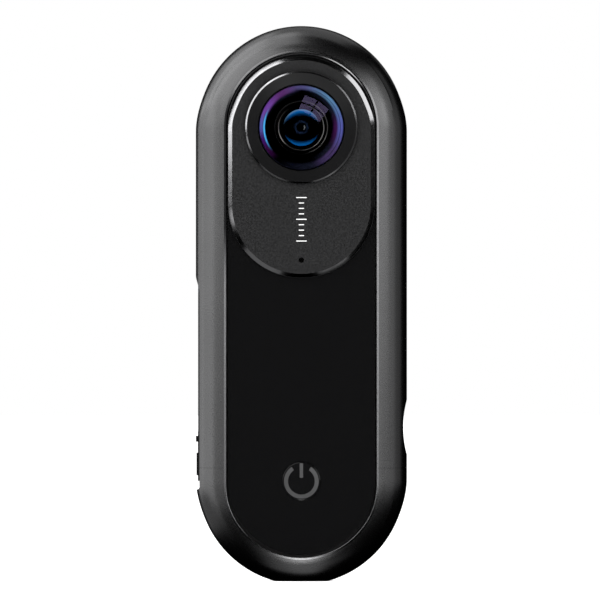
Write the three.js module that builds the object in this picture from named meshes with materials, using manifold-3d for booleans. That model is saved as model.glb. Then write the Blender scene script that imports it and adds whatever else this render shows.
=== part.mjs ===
// Slim two-eyed action camera: an upright pill-shaped body with a fisheye lens on each face, a round
// shutter button under the front lens, and a phone plug that a thumb slider on the side pushes out.
// Millimetres. X is across the width, -Y is the front face, +Z is up, and the origin is the middle of
// the base.
import * as THREE from "three";
import { mergeVertices } from "three/addons/utils/BufferGeometryUtils.js";
import Module from "manifold-3d";

const wasm = await Module();
wasm.setup();

// ---- Driving dimensions ------------------------------------------------------------------------
const HEIGHT = 96;
const WIDTH = 36.5;
const DEPTH = 25; // over both lenses

const END_RADIUS = WIDTH / 2;
const OUTER_HIGH_Z = HEIGHT - END_RADIUS; // centre of the body's top arc
const OUTER_LOW_Z = 17.65; // centre of the bottom arc, whose lowest 0.6 mm is cut flat
const FACE_Y = 7.7; // half the body's thickness at the rim of each face
const SIDE_FLAT_Y = 2.4; // half the straight band round the body's side
const RIM_RADIUS = 13.35; // where the rounded side meets the face

const OPENING_RADIUS = 13.0; // the mouth in each face that the gloss panel fills
const PANEL_LOW_Z = 17.33; // the panel's lower arc, and the shutter button
const LENS_Z = 78.4; // the panel's upper arc, and the lens
const RIM_CHAMFER = 0.37;

const WALL = 1.85;
const CAVITY_RADIUS = END_RADIUS - WALL;
const CAVITY_Y = 6.0;
const SEAM_Z = 19.6; // where the base cap meets the frame
const SEAM_GAP = 0.04;

const PANEL_FRONT_Y = 7.4;
const PANEL_BACK_Y = 6.2;
const PANEL_RADIUS = OPENING_RADIUS - 0.3;

const PLATE_FRONT_Y = 8.45;
const PLATE_BACK_Y = 7.45;
const PLATE_RADIUS = 12.65;
const PLATE_LOW_Z = 65.1;
const PLATE_CHAMFER = { in: 0.8, down: 0.55 };

const BEZEL_RADIUS = 9.8;
const DOME_RADIUS = 7.3; // at the dome's edge
const DOME_APEX_Y = DEPTH / 2;
const BARREL_RADIUS = 8.6;
const LENS_HOLE_RADIUS = 9.0;

const BUTTON_RADIUS = 3.3;
const BUTTON_GAP = 0.12;
const MIC_Z = 55.5;
const MIC_HOLE_RADIUS = 0.45;

const CHASSIS_RADIUS = 16.1;
const CHASSIS_INNER_RADIUS = 15.1;
const CHASSIS_Y = 4.9;
const CARRIER_INNER_Y = 5.0;
const CARRIER_OUTER_Y = 5.95;

// The milled flat on the left side and the strip set into it.
const STRIP = { low: 15.8, high: 53.5, halfWidth: 4.4, depth: 0.35, rim: 0.4 };
const STRIP_FACE_X = END_RADIUS - STRIP.depth;

// The rack and pinion that turn the thumb slider's stroke into the plug's.
const MODULE = 0.5;
const TEETH = 10;
const PITCH_RADIUS = (MODULE * TEETH) / 2;
const PRESSURE_ANGLE = THREE.MathUtils.degToRad(25);
const ADDENDUM = 0.8 * MODULE;
const DEDENDUM = 1.0 * MODULE;
const FLANK_PLAY = 0.04; // taken off each flank
const STROKE = 8; // of the slider and of the plug
const PINION_X = -2;
const PINION_Z = 19;
const PLUG_Z = 26.65;

const TRIPOD_THREAD_RADIUS = 3.175; // a quarter-inch screw
const TRIPOD_NECK_RADIUS = 4.2;

const ROUND = 48; // segments of a large round
const MEDIUM = 32;
const SMALL = 16;

// ---- Materials ---------------------------------------------------------------------------------
const finish = (color, roughness, metalness) =>
  new THREE.MeshStandardMaterial({ color, roughness, metalness });
const MATERIAL = {
  frame: finish(0x4a4a4b, 0.42, 0.85),
  plate: finish(0x38383a, 0.5, 0.8),
  gloss: finish(0x101011, 0.06, 0.0),
  bezel: finish(0x232325, 0.38, 0.7),
  glass: finish(0x1b1d2c, 0.02, 0.0),
  blackPlastic: finish(0x141414, 0.55, 0.0),
  greyPlastic: finish(0x5a5c5e, 0.6, 0.0),
  board: finish(0x0f3d2a, 0.5, 0.0),
  chip: finish(0x1a1a1c, 0.45, 0.0),
  steel: finish(0xa9abad, 0.3, 1.0),
  brass: finish(0xb08d4a, 0.35, 1.0),
  cell: finish(0x8e9296, 0.4, 0.5),
  flex: finish(0x8a5a1e, 0.45, 0.0),
  card: finish(0x16161a, 0.4, 0.0),
  light: finish(0xdfe8ef, 0.2, 0.0),
};

// ---- Solids ------------------------------------------------------------------------------------
// A closed three.js geometry as a manifold-3d solid.
function solid(geometry) {
  const bare = geometry.index ? geometry.toNonIndexed() : geometry.clone();
  bare.deleteAttribute("normal");
  bare.deleteAttribute("uv");
  const merged = mergeVertices(bare, 1e-4);
  return new wasm.Manifold(
    new wasm.Mesh({
      numProp: 3,
      vertProperties: new Float32Array(merged.attributes.position.array),
      triVerts: new Uint32Array(merged.index.array),
    }),
  );
}

// A manifold-3d solid as a named mesh.
function mesh(name, body, material) {
  const made = body.getMesh();
  const geometry = new THREE.BufferGeometry();
  geometry.setAttribute("position", new THREE.BufferAttribute(made.vertProperties, 3));
  geometry.setIndex(new THREE.BufferAttribute(made.triVerts, 1));
  geometry.computeVertexNormals();
  const result = new THREE.Mesh(geometry, material.clone());
  result.name = name;
  return result;
}

function block([x0, x1], [y0, y1], [z0, z1]) {
  const box = new THREE.BoxGeometry(x1 - x0, y1 - y0, z1 - z0);
  return solid(box.translate((x0 + x1) / 2, (y0 + y1) / 2, (z0 + z1) / 2));
}

// A straight round bar along "x", "y" or "z" through the point (a, b) of the other two axes.
function bar(axis, radius, from, to, a, b, segments = MEDIUM) {
  const cylinder = new THREE.CylinderGeometry(radius, radius, to - from, segments);
  const middle = (from + to) / 2;
  if (axis === "x") return solid(cylinder.rotateZ(Math.PI / 2).translate(middle, a, b));
  if (axis === "z") return solid(cylinder.rotateX(Math.PI / 2).translate(a, b, middle));
  return solid(cylinder.translate(a, middle, b));
}

// The solid that a section [[radius, y], ...] sweeps round the Y axis at height z.
function turned(section, z = 0, segments = MEDIUM) {
  const points = section.map(([r, y]) => new THREE.Vector2(r, y));
  return solid(new THREE.LatheGeometry(points, segments).translate(0, 0, z));
}

// A pill: the section [[radius, y], ...], from the axis out and back, swept round two ends and along
// the straight between them.
function pill(section, lowZ, highZ, segments = ROUND) {
  const outline = new THREE.Shape([
    ...section.map(([r, y]) => new THREE.Vector2(r, -y)),
    ...[...section].reverse().map(([r, y]) => new THREE.Vector2(-r, -y)),
  ]);
  const straight = new THREE.ExtrudeGeometry(outline, {
    depth: highZ - lowZ,
    bevelEnabled: false,
  });
  straight.scale(1, -1, 1);
  const middle = solid(flipped(straight).translate(0, 0, lowZ));
  return turned(section, lowZ, segments).add(turned(section, highZ, segments)).add(middle);
}

// Turns each face round, after a mirroring scale.
function flipped(geometry) {
  const plain = geometry.index ? geometry.toNonIndexed() : geometry;
  const position = plain.getAttribute("position");
  const a = new THREE.Vector3();
  const b = new THREE.Vector3();
  for (let i = 0; i < position.count; i += 3) {
    a.fromBufferAttribute(position, i);
    b.fromBufferAttribute(position, i + 1);
    position.setXYZ(i, b.x, b.y, b.z);
    position.setXYZ(i + 1, a.x, a.y, a.z);
  }
  return plain;
}

const slabSection = (radius, y0, y1) => [
  [0, y0],
  [radius, y0],
  [radius, y1],
  [0, y1],
];

// A plain pill-shaped slab.
const slab = (radius, y0, y1, lowZ, highZ, segments = ROUND) =>
  pill(slabSection(radius, y0, y1), lowZ, highZ, segments);

// A slab that fills the body's inside to a given radius.
const core = (radius, y0, y1) => slab(radius, y0, y1, OUTER_LOW_Z, OUTER_HIGH_Z, MEDIUM);

// Points of an arc of an ellipse in the (radius, y) plane, from one angle to another in degrees.
function arc(centreR, centreY, semiR, semiY, fromDeg, toDeg, steps) {
  return Array.from({ length: steps + 1 }, (_, i) => {
    const t = THREE.MathUtils.degToRad(fromDeg + ((toDeg - fromDeg) * i) / steps);
    return [centreR + semiR * Math.cos(t), centreY + semiY * Math.sin(t)];
  });
}

// Points of a spherical surface on the Y axis, from its apex out to its edge.
function dome(apexY, edgeRadius, edgeY, steps) {
  const sag = edgeY - apexY;
  const radius = (edgeRadius ** 2 + sag ** 2) / (2 * sag);
  const edgeAngle = Math.asin(edgeRadius / Math.abs(radius));
  return Array.from({ length: steps + 1 }, (_, i) => {
    const t = (edgeAngle * i) / steps;
    return [Math.abs(radius) * Math.sin(t), apexY + radius * (1 - Math.cos(t))];
  });
}

// An upright oblong with round ends, standing on the YZ plane, from x0 to x1.
function oblong([x0, x1], halfWidth, lowZ, highZ, y = 0) {
  const shape = new THREE.Shape();
  shape.absarc(y, highZ - halfWidth, halfWidth, 0, Math.PI, false);
  shape.absarc(y, lowZ + halfWidth, halfWidth, Math.PI, 2 * Math.PI, false);
  const geometry = new THREE.ExtrudeGeometry(shape, {
    depth: x1 - x0,
    bevelEnabled: false,
    curveSegments: SMALL / 2,
  });
  return solid(stoodOnYZ(geometry, x0));
}

// Turns an extruded drawing so that its own x, y and depth become Y, Z and X, from x0 on.
function stoodOnYZ(geometry, x0) {
  return geometry.applyMatrix4(new THREE.Matrix4().set(0, 0, 1, x0, 1, 0, 0, 0, 0, 1, 0, 0, 0, 0, 0, 1));
}

// ---- Housing -----------------------------------------------------------------------------------
// The whole outside of frame and base cap: rounded sides, flat foot, open faces and hollow inside.
function bodyRing() {
  const semiR = END_RADIUS - RIM_RADIUS;
  const semiY = FACE_Y - SIDE_FLAT_Y;
  const outside = pill(
    [
      [0, -FACE_Y],
      ...arc(RIM_RADIUS, -SIDE_FLAT_Y, semiR, semiY, -90, 0, 6),
      ...arc(RIM_RADIUS, SIDE_FLAT_Y, semiR, semiY, 0, 90, 6),
      [0, FACE_Y],
    ],
    OUTER_LOW_Z,
    OUTER_HIGH_Z,
  );
  const past = FACE_Y + 0.3;
  const mouth = pill(
    [
      [0, -past],
      [OPENING_RADIUS + RIM_CHAMFER + 0.3, -past],
      [OPENING_RADIUS, RIM_CHAMFER - FACE_Y],
      [OPENING_RADIUS, FACE_Y - RIM_CHAMFER],
      [OPENING_RADIUS + RIM_CHAMFER + 0.3, past],
      [0, past],
    ],
    PANEL_LOW_Z,
    LENS_Z,
  );
  const cavity = core(CAVITY_RADIUS, -CAVITY_Y, CAVITY_Y);
  const below = block([-20, 20], [-10, 10], [-2, 0]);
  return outside.subtract(mouth).subtract(cavity).subtract(below);
}

// The cuts in the body's sides: strip pocket and window, plug scoop and window, charging socket.
function sideCuts() {
  const pocket = oblong([-END_RADIUS - 1, -STRIP_FACE_X], STRIP.halfWidth, STRIP.low, STRIP.high);
  const window = oblong(
    [-END_RADIUS, -CAVITY_RADIUS + 0.5],
    STRIP.halfWidth - STRIP.rim,
    STRIP.low + STRIP.rim,
    STRIP.high - STRIP.rim,
  );
  const scoopRadius = 17.7;
  const scoopDepth = 0.65;
  const scoop = bar("y", scoopRadius, -8, 8, END_RADIUS - scoopDepth + scoopRadius, PLUG_Z, 3 * ROUND);
  const port = oblong([CAVITY_RADIUS - 0.5, END_RADIUS + 1], 1.7, PLUG_Z - 4.3, PLUG_Z + 4.3);
  const charging = oblong([CAVITY_RADIUS - 0.5, END_RADIUS + 1], 1.6, USB.low - 0.2, USB.high + 0.2, USB.y);
  return pocket.add(window).add(scoop).add(port).add(charging);
}

const USB = { low: 36.2, high: 43.8, y: 2.5, inner: 12.7, mouth: 17.7 };

// The base cap's two screw bosses, one each side of the tripod nut.
const BASE_BOSS = { x: 6.2, z: 6.95, radius: 1.3 };

function housing() {
  const ring = bodyRing().subtract(sideCuts());
  const above = block([-20, 20], [-10, 10], [SEAM_Z + SEAM_GAP / 2, HEIGHT + 2]);
  const under = block([-20, 20], [-10, 10], [-2, SEAM_Z - SEAM_GAP / 2]);
  const threadHole = bar("z", TRIPOD_NECK_RADIUS + 0.15, -1, 2, 0, 0);
  let base = ring.intersect(under).subtract(threadHole);
  for (const side of [-1, 1]) {
    const x = side * BASE_BOSS.x;
    const boss = bar("y", BASE_BOSS.radius, -CHASSIS_Y, CHASSIS_Y, x, BASE_BOSS.z, SMALL);
    const web = block([x - 0.8, x + 0.8], [-CHASSIS_Y, CHASSIS_Y], [1.9, BASE_BOSS.z]);
    base = base.add(boss).add(web).subtract(screwHole(x, BASE_BOSS.z));
  }
  return [mesh("frame_shell", ring.intersect(above), MATERIAL.frame), mesh("base_cap", base, MATERIAL.frame)];
}

// The nut that takes a tripod screw: a neck through the base cap's foot and a flange inside it.
function tripodNut() {
  const flangeRadius = 4.85;
  const top = 7.6;
  const body = bar("z", TRIPOD_NECK_RADIUS, 0, top, 0, 0)
    .add(bar("z", flangeRadius, 2.2, 3.3, 0, 0))
    .subtract(bar("z", TRIPOD_THREAD_RADIUS, -1, 6.6, 0, 0, 24));
  return mesh("tripod_nut", body, MATERIAL.brass);
}

// ---- Faces, front and rear alike ---------------------------------------------------------------
function panel(side) {
  let body = slab(PANEL_RADIUS, -PANEL_FRONT_Y, -PANEL_BACK_Y, PANEL_LOW_Z, LENS_Z);
  body = body.subtract(bar("y", LENS_HOLE_RADIUS, -9, -5, 0, LENS_Z, ROUND));
  if (side === "front") {
    body = body.subtract(bar("y", BUTTON_RADIUS + BUTTON_GAP, -9, -5, 0, PANEL_LOW_Z, ROUND));
    body = body.subtract(bar("y", MIC_HOLE_RADIUS, -9, -5, 0, MIC_Z, SMALL));
  }
  return mesh(`${side}_panel`, body, MATERIAL.gloss);
}

function lensPlate(side) {
  let body = pill(
    [
      [0, -PLATE_FRONT_Y],
      [PLATE_RADIUS - PLATE_CHAMFER.in, -PLATE_FRONT_Y],
      [PLATE_RADIUS, PLATE_CHAMFER.down - PLATE_FRONT_Y],
      [PLATE_RADIUS, -PLATE_BACK_Y],
      [0, -PLATE_BACK_Y],
    ],
    PLATE_LOW_Z,
    LENS_Z,
  );
  body = body.subtract(bar("y", LENS_HOLE_RADIUS, -9, -5, 0, LENS_Z, ROUND));
  if (side === "front") body = body.subtract(bar("y", MIC_HOLE_RADIUS, -9, -5, 0, MIC_Z, SMALL));
  return mesh(`${side}_lens_plate`, body, MATERIAL.plate);
}

function lensBezel(side) {
  const section = [
    [DOME_RADIUS + 0.2, -9.3],
    [DOME_RADIUS + 0.2, -9.85],
    [BEZEL_RADIUS - 0.35, -9.3],
    [BEZEL_RADIUS, -8.95],
    [BEZEL_RADIUS, -8.5],
    [BARREL_RADIUS + 0.15, -8.5],
    [BARREL_RADIUS + 0.15, -9.3],
    [DOME_RADIUS + 0.2, -9.3],
  ];
  return mesh(`${side}_lens_bezel`, turned(section, LENS_Z, ROUND), MATERIAL.bezel);
}

// The deeply hollowed front element of the fisheye lens.
function domeLens(side) {
  const rimY = -8.25;
  const section = [
    ...dome(-DOME_APEX_Y, DOME_RADIUS, -9.7, 6),
    [DOME_RADIUS, rimY],
    ...dome(-DOME_APEX_Y + 1.1, 4.7, rimY, 4).reverse(),
  ];
  return mesh(`${side}_dome_lens`, turned(section, LENS_Z), MATERIAL.glass);
}

function lensBarrel(side) {
  const seatY = -8.2;
  const section = [
    [DOME_RADIUS + 0.1, -9.2],
    [BARREL_RADIUS, -9.2],
    [BARREL_RADIUS, -5.2],
    [5.2, -5.2],
    [5.2, -4.15],
    [2.6, -4.15],
    [2.6, -5.6],
    [3.5, -6.9],
    [4.0, -6.9],
    [4.0, seatY],
    [DOME_RADIUS + 0.1, seatY],
    [DOME_RADIUS + 0.1, -9.2],
  ];
  return mesh(`${side}_lens_barrel`, turned(section, LENS_Z), MATERIAL.blackPlastic);
}

function innerLens(side) {
  const section = [...dome(-9.3, 3.9, -7.6, 4), [3.9, -6.95], [0, -6.95]];
  return mesh(`${side}_inner_lens`, turned(section, LENS_Z), MATERIAL.glass);
}

// The light path behind each lens: a right-angle prism turns it sideways to a relay lens and sensor.
const FOLD_Y = -2.15;
const PRISM_HALF = 1.8;

function foldPrism(side) {
  const corner = new THREE.Shape([
    new THREE.Vector2(-PRISM_HALF, FOLD_Y - PRISM_HALF),
    new THREE.Vector2(PRISM_HALF, FOLD_Y - PRISM_HALF),
    new THREE.Vector2(PRISM_HALF, FOLD_Y + PRISM_HALF),
  ]);
  const wedge = new THREE.ExtrudeGeometry(corner, { depth: 2 * PRISM_HALF, bevelEnabled: false });
  const body = solid(wedge.translate(0, 0, LENS_Z - PRISM_HALF));
  return mesh(`${side}_fold_prism`, body, MATERIAL.glass);
}

function relayLens(side) {
  const section = [...dome(-1.8, 1.7, -1.3, 3), ...dome(1.8, 1.7, 1.3, 3).reverse()];
  const points = section.map(([r, y]) => new THREE.Vector2(r, y));
  const lens = new THREE.LatheGeometry(points, 16).rotateZ(-Math.PI / 2);
  const body = solid(lens.translate(4.1, FOLD_Y, LENS_Z));
  return mesh(`${side}_relay_lens`, body, MATERIAL.glass);
}

function imageSensor(side) {
  const body = block([7.1, 8.1], [FOLD_Y - 2.7, FOLD_Y + 2.7], [LENS_Z - 3.2, LENS_Z + 3.2]);
  return mesh(`${side}_image_sensor`, body, MATERIAL.chip);
}

function sensorBoard(side) {
  const body = block([8.15, 8.75], [-4.9, 2.6], [LENS_Z - 4, LENS_Z + 4]);
  return mesh(`${side}_sensor_board`, body, MATERIAL.board);
}

// The inner cover behind each panel, with a low step that the panel is bonded to.
function carrier(side) {
  let body = core(CHASSIS_RADIUS, -CARRIER_OUTER_Y, -CARRIER_INNER_Y);
  const step = [-PANEL_BACK_Y + 0.05, -CARRIER_OUTER_Y + 0.2];
  body = body.add(slab(PANEL_RADIUS - 0.2, ...step, PANEL_LOW_Z, LENS_Z, MEDIUM));
  body = body.subtract(bar("y", LENS_HOLE_RADIUS, -9, -4, 0, LENS_Z));
  if (side === "front") {
    body = body.subtract(bar("y", BUTTON_RADIUS + 1.15, -9, -4, 0, PANEL_LOW_Z));
    body = body.subtract(block([-2.05, 2.05], [-7, -4], [MIC_Z - 1.6, MIC_Z + 1.6]));
  } else {
    for (const [x, z] of SCREW_PLACES) {
      // The group is turned, so its own X runs the other way; the places are symmetric about X.
      body = body.subtract(bar("y", SCREW.head + 0.15, -7, -5.4, x, z, SMALL));
      body = body.subtract(bar("y", SCREW.shank + 0.1, -7, -4, x, z, SMALL));
    }
  }
  return mesh(`${side}_carrier`, body, MATERIAL.blackPlastic);
}

function face(side) {
  const group = new THREE.Group();
  for (const make of [
    panel,
    lensPlate,
    lensBezel,
    domeLens,
    lensBarrel,
    innerLens,
    foldPrism,
    relayLens,
    imageSensor,
    sensorBoard,
    carrier,
  ])
    group.add(make(side));
  group.rotation.z = side === "rear" ? Math.PI : 0;
  return group;
}

// ---- Screws ------------------------------------------------------------------------------------
const SCREW = { head: 1.1, headDepth: 0.5, shank: 0.6, length: 2.9 };
const CHASSIS_BOSS = { x: 11.2, z: [33.6, 65.2], radius: 1.6 };
const SCREW_PLACES = [
  ...[-1, 1].flatMap((side) => CHASSIS_BOSS.z.map((z) => [side * CHASSIS_BOSS.x, z])),
  ...[-1, 1].map((side) => [side * BASE_BOSS.x, BASE_BOSS.z]),
];

function screwHole(x, z) {
  return bar("y", SCREW.shank + 0.05, 5.4 - SCREW.length - 0.2, CHASSIS_Y + 1, x, z, SMALL);
}

function screws() {
  return SCREW_PLACES.map(([x, z], i) => {
    const head = bar("y", SCREW.head, 0, SCREW.headDepth, 0, 0, SMALL);
    const shank = bar("y", SCREW.shank, -SCREW.length, 0.1, 0, 0, SMALL);
    const slot = block([-0.7, 0.7], [0.2, 1], [-0.15, 0.15]);
    const cross = slot.add(slot.rotate([0, 90, 0]));
    const screw = mesh(`carrier_screw_${i + 1}`, head.add(shank).subtract(cross), MATERIAL.steel);
    screw.position.set(x, 5.42, z);
    return screw;
  });
}

// ---- Inside ------------------------------------------------------------------------------------
const BAY = { low: 9.1, high: 31, wallY: 3.0, outerY: 4.0 };
const BATTERY_SHELF_Z = 62.6;

// The inner frame: a ring with a bay for the plug mechanism below, and shelves for battery and optics.
function midChassis() {
  const filled = core(CHASSIS_RADIUS, -CHASSIS_Y, CHASSIS_Y);
  const shelves = block([-20, 20], [-CHASSIS_Y, BAY.wallY], [BAY.low - 0.8, BAY.low])
    .add(block([-20, 20], [-CHASSIS_Y, CHASSIS_Y], [BAY.high, BAY.high + 1]))
    .add(block([-20, 20], [-CHASSIS_Y, 2], [BATTERY_SHELF_Z, BATTERY_SHELF_Z + 1]))
    .add(block([-20, 20], [-BAY.outerY, -BAY.wallY], [BAY.low - 0.8, BAY.high + 0.5]))
    .intersect(filled);
  let body = filled.subtract(core(CHASSIS_INNER_RADIUS, -9, 9)).add(shelves);
  for (const side of [-1, 1])
    for (const z of CHASSIS_BOSS.z) {
      const x = side * CHASSIS_BOSS.x;
      const reach = [x, side * (CHASSIS_INNER_RADIUS + 0.3)].sort((a, b) => a - b);
      const arm = block(reach, [2.1, CHASSIS_Y], [z - 1.1, z + 1.1]);
      const boss = bar("y", CHASSIS_BOSS.radius, 2.1, CHASSIS_Y, x, z, SMALL);
      body = body.add(arm).add(boss).subtract(screwHole(x, z));
    }
  const cuts = [
    block([-20, 20], [-9, 9], [-1, BAY.low - 0.8]), // room for the tripod nut
    block([-17, -14], [-1.4, 2.6], [17.3, 30.1]), // the slider's arm
    block([-17, -14], [2.2, 6], [35.2, 48.4]), // the memory card
    block([14, 17], [-2.6, 2.6], [22, 30.9]), // the plug
    block([14, 17], [0.8, 6], [35.6, 44.4]), // the charging socket
    bar("y", 0.8, -BAY.outerY - 1, 0, PINION_X, PINION_Z, SMALL), // the pinion's axle
  ];
  for (const cut of cuts) body = body.subtract(cut);
  return mesh("mid_chassis", body, MATERIAL.greyPlastic);
}

// The plate that closes the mechanism's bay from behind.
function mechanismCover() {
  const body = core(CHASSIS_INNER_RADIUS - 0.2, BAY.wallY + 0.05, BAY.outerY)
    .intersect(block([-20, 20], [0, 9], [BAY.low - 0.8, BAY.high - 0.1]))
    .subtract(bar("y", 0.8, 0, 6, PINION_X, PINION_Z, SMALL));
  return mesh("mechanism_cover", body, MATERIAL.greyPlastic);
}

// The block that holds both prisms and relay lenses, on a foot that stands on the chassis shelf.
function opticsHousing() {
  let body = block([-6.9, 6.9], [-4.1, 4.1], [LENS_Z - 5.2, LENS_Z + 5.2]).add(
    block([-6, 6], [-3, 1.8], [BATTERY_SHELF_Z + 1.05, LENS_Z - 5]),
  );
  for (const side of [-1, 1]) {
    const chamber = [-PRISM_HALF - 0.2, PRISM_HALF + 0.25].map((x) => x * side).sort((a, b) => a - b);
    const near = [side * -4.4, side * -0.2].sort((a, b) => a - b);
    const path = [side * 1.9, side * 7.2].sort((a, b) => a - b);
    const reach = PRISM_HALF + 0.2;
    body = body.subtract(block(chamber, near, [LENS_Z - reach, LENS_Z + reach]));
    body = body.subtract(bar("x", 1.85, path[0], path[1], side * FOLD_Y, LENS_Z, 24));
  }
  return mesh("optics_housing", body, MATERIAL.blackPlastic);
}

function electronics() {
  const boardY = 3.95;
  const parts = {
    battery: [block([-11.8, 11.6], [-4.85, 1.95], [32.3, 62.3]), MATERIAL.cell],
    main_board: [block([-14.8, 14.8], [boardY, boardY + 0.8], [35.6, 62.4]), MATERIAL.board],
    processor: [block([1.5, 12.3], [2.6, boardY - 0.05], [37, 47]), MATERIAL.chip],
    shield_can: [block([-6, 6], [2.4, boardY - 0.05], [49.6, 61]), MATERIAL.steel],
    radio_module: [block([8, 13], [2.7, boardY - 0.05], [49.6, 56.6]), MATERIAL.steel],
    motion_sensor: [block([9.5, 12.5], [3.1, boardY - 0.05], [57.9, 60.9]), MATERIAL.chip],
    antenna: [
      core(14.6, -4.6, -4.3).intersect(block([-9, 9], [-9, 9], [88.5, 92.2])),
      MATERIAL.brass,
    ],
    battery_plug: [block([-13.6, -8], [2.3, boardY - 0.05], [50, 53]), MATERIAL.greyPlastic],
    microphone: [block([-1.9, 1.9], [-6.1, -5.05], [MIC_Z - 1.45, MIC_Z + 1.45]), MATERIAL.steel],
    button_board: [
      slab(9, -4.75, -4.15, PANEL_LOW_Z - 1, PANEL_LOW_Z + 4).intersect(block([-9, 9], [-9, 9], [9.5, 29])),
      MATERIAL.board,
    ],
    button_switch: [
      block([-2.6, 2.6], [-5.05, -4.8], [PANEL_LOW_Z - 2.6, PANEL_LOW_Z + 2.6]).add(
        turned([...dome(-5.3, 2, -4.95, 3), [0, -4.95]], PANEL_LOW_Z, SMALL),
      ),
      MATERIAL.steel,
    ],
  };
  return Object.entries(parts).map(([name, [body, material]]) => mesh(name, body, material));
}

// A flat ribbon from each sensor board down to the main board, with its connector at the foot.
function sensorFlex(side) {
  const thickness = 0.25;
  const startY = side === "front" ? -1.5 : 1.2;
  const line = [
    [startY, LENS_Z - 4.1],
    [startY, 67.5],
    [2.25, 65],
    [2.25, 58.4],
  ];
  const outline = [...line, ...[...line].reverse().map(([y, z]) => [y + thickness, z])];
  const shape = new THREE.Shape(outline.map(([y, z]) => new THREE.Vector2(y, z)));
  const width = 2;
  const ribbon = new THREE.ExtrudeGeometry(shape, { depth: width, bevelEnabled: false });
  const left = side === "front" ? 7.1 : -7.1 - width;
  const connector = block([left, left + width], [2.3, 3.9], [58.4, 60.4]);
  return mesh(`${side}_sensor_flex`, solid(stoodOnYZ(ribbon, left)).add(connector), MATERIAL.flex);
}

// ---- Shutter button ----------------------------------------------------------------------------
function buttonCap() {
  const section = [
    [0, -PANEL_FRONT_Y],
    [BUTTON_RADIUS - 0.12, -PANEL_FRONT_Y],
    [BUTTON_RADIUS, 0.12 - PANEL_FRONT_Y],
    [BUTTON_RADIUS, -PANEL_BACK_Y + 0.05],
    [BUTTON_RADIUS + 0.75, -PANEL_BACK_Y + 0.05],
    [BUTTON_RADIUS + 0.75, -5.8],
    [1.2, -5.8],
    [1.2, -5.7],
    [0, -5.7],
  ];
  return mesh("shutter_button", turned(section, PANEL_LOW_Z, ROUND), MATERIAL.gloss);
}

// ---- Side strip, card and charging socket ------------------------------------------------------
const KNOB = { low: 17.3, high: 26, halfWidth: 2.1 };
const STEM = { low: 18.4, high: 21, halfY: 0.9 };
const CARD = { low: 36.3, high: 47.3, y: [2.7, 3.5], outer: -17.75, length: 15 };
const TRACK_FLOOR_X = 17.35;
const LIGHT_Z = 50.6;

function sideStrip() {
  const through = [-19, -16];
  const edge = STRIP.rim + 0.1;
  const plate = [STRIP.halfWidth - edge, STRIP.low + edge, STRIP.high - edge];
  const track = [KNOB.halfWidth + 0.15, KNOB.low - 0.3, KNOB.high + STROKE + 0.3];
  const stemPath = [STEM.low - 0.2, STEM.high + STROKE + 0.2];
  const body = oblong([-STRIP_FACE_X, -16.55], ...plate)
    .subtract(oblong([through[0], -TRACK_FLOOR_X], ...track))
    .subtract(block(through, [-STEM.halfY - 0.15, STEM.halfY + 0.15], stemPath))
    .subtract(block(through, [CARD.y[0] - 0.25, CARD.y[1] + 0.25], [CARD.low - 0.25, CARD.high + 0.25]))
    .subtract(bar("x", 0.7, ...through, 0, LIGHT_Z, SMALL));
  return mesh("side_strip", body, MATERIAL.blackPlastic);
}

function statusLight() {
  return mesh("status_light", bar("x", 0.6, -STRIP_FACE_X, -16.2, 0, LIGHT_Z, SMALL), MATERIAL.light);
}

function sliderKnob() {
  const inward = -TRACK_FLOOR_X - 0.05;
  const ribs = Array.from({ length: 4 }, (_, i) => 18.95 + 0.85 * i);
  let body = oblong([-STRIP_FACE_X, inward], KNOB.halfWidth, KNOB.low, KNOB.high)
    .add(block([-END_RADIUS + 0.1, -17.6], [-1.8, 1.8], [18.3, 22.2]))
    .add(block([-END_RADIUS, -17.6], [-1.2, 1.2], [24.1, 25.1]))
    .add(block([-17.6, -15], [-STEM.halfY, STEM.halfY], [STEM.low, STEM.high]));
  for (const z of ribs) body = body.subtract(block([-19, -END_RADIUS + 0.28], [-3, 3], [z, z + 0.3]));
  return mesh("slider_knob", body, MATERIAL.blackPlastic);
}

function cardSocket() {
  const body = block([-14.9, -2], [2.3, 3.9], [CARD.low - 0.7, CARD.high + 0.7]).subtract(
    block([-16, -2.4], [CARD.y[0] - 0.1, CARD.y[1] + 0.1], [CARD.low - 0.15, CARD.high + 0.15]),
  );
  return mesh("card_socket", body, MATERIAL.steel);
}

// The removable memory card, with the stepped corner of its kind.
function memoryCard() {
  const { outer, length, low, high, y } = CARD;
  const shape = new THREE.Shape();
  shape.moveTo(outer, low);
  shape.lineTo(outer + length, low);
  shape.lineTo(outer + length, high - 1.4);
  shape.lineTo(outer + length - 6.4, high - 1.4);
  shape.lineTo(outer + length - 7.4, high);
  shape.lineTo(outer, high);
  const flat = new THREE.ExtrudeGeometry(shape, { depth: y[1] - y[0], bevelEnabled: false });
  const body = solid(flat.rotateX(Math.PI / 2).translate(0, y[1], 0));
  return mesh("memory_card", body, MATERIAL.card);
}

function chargingSocket() {
  const { low, high, y, inner, mouth } = USB;
  const shell = oblong([inner, mouth], 1.4, low, high, y);
  const hollow = oblong([inner + 0.6, mouth + 1], 1.1, low + 0.3, high - 0.3, y);
  const tongue = block([inner + 0.3, mouth - 0.9], [y - 0.1, y + 0.5], [low + 1.4, high - 1.4]);
  return mesh("charging_socket", shell.subtract(hollow).add(tongue), MATERIAL.steel);
}

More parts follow.
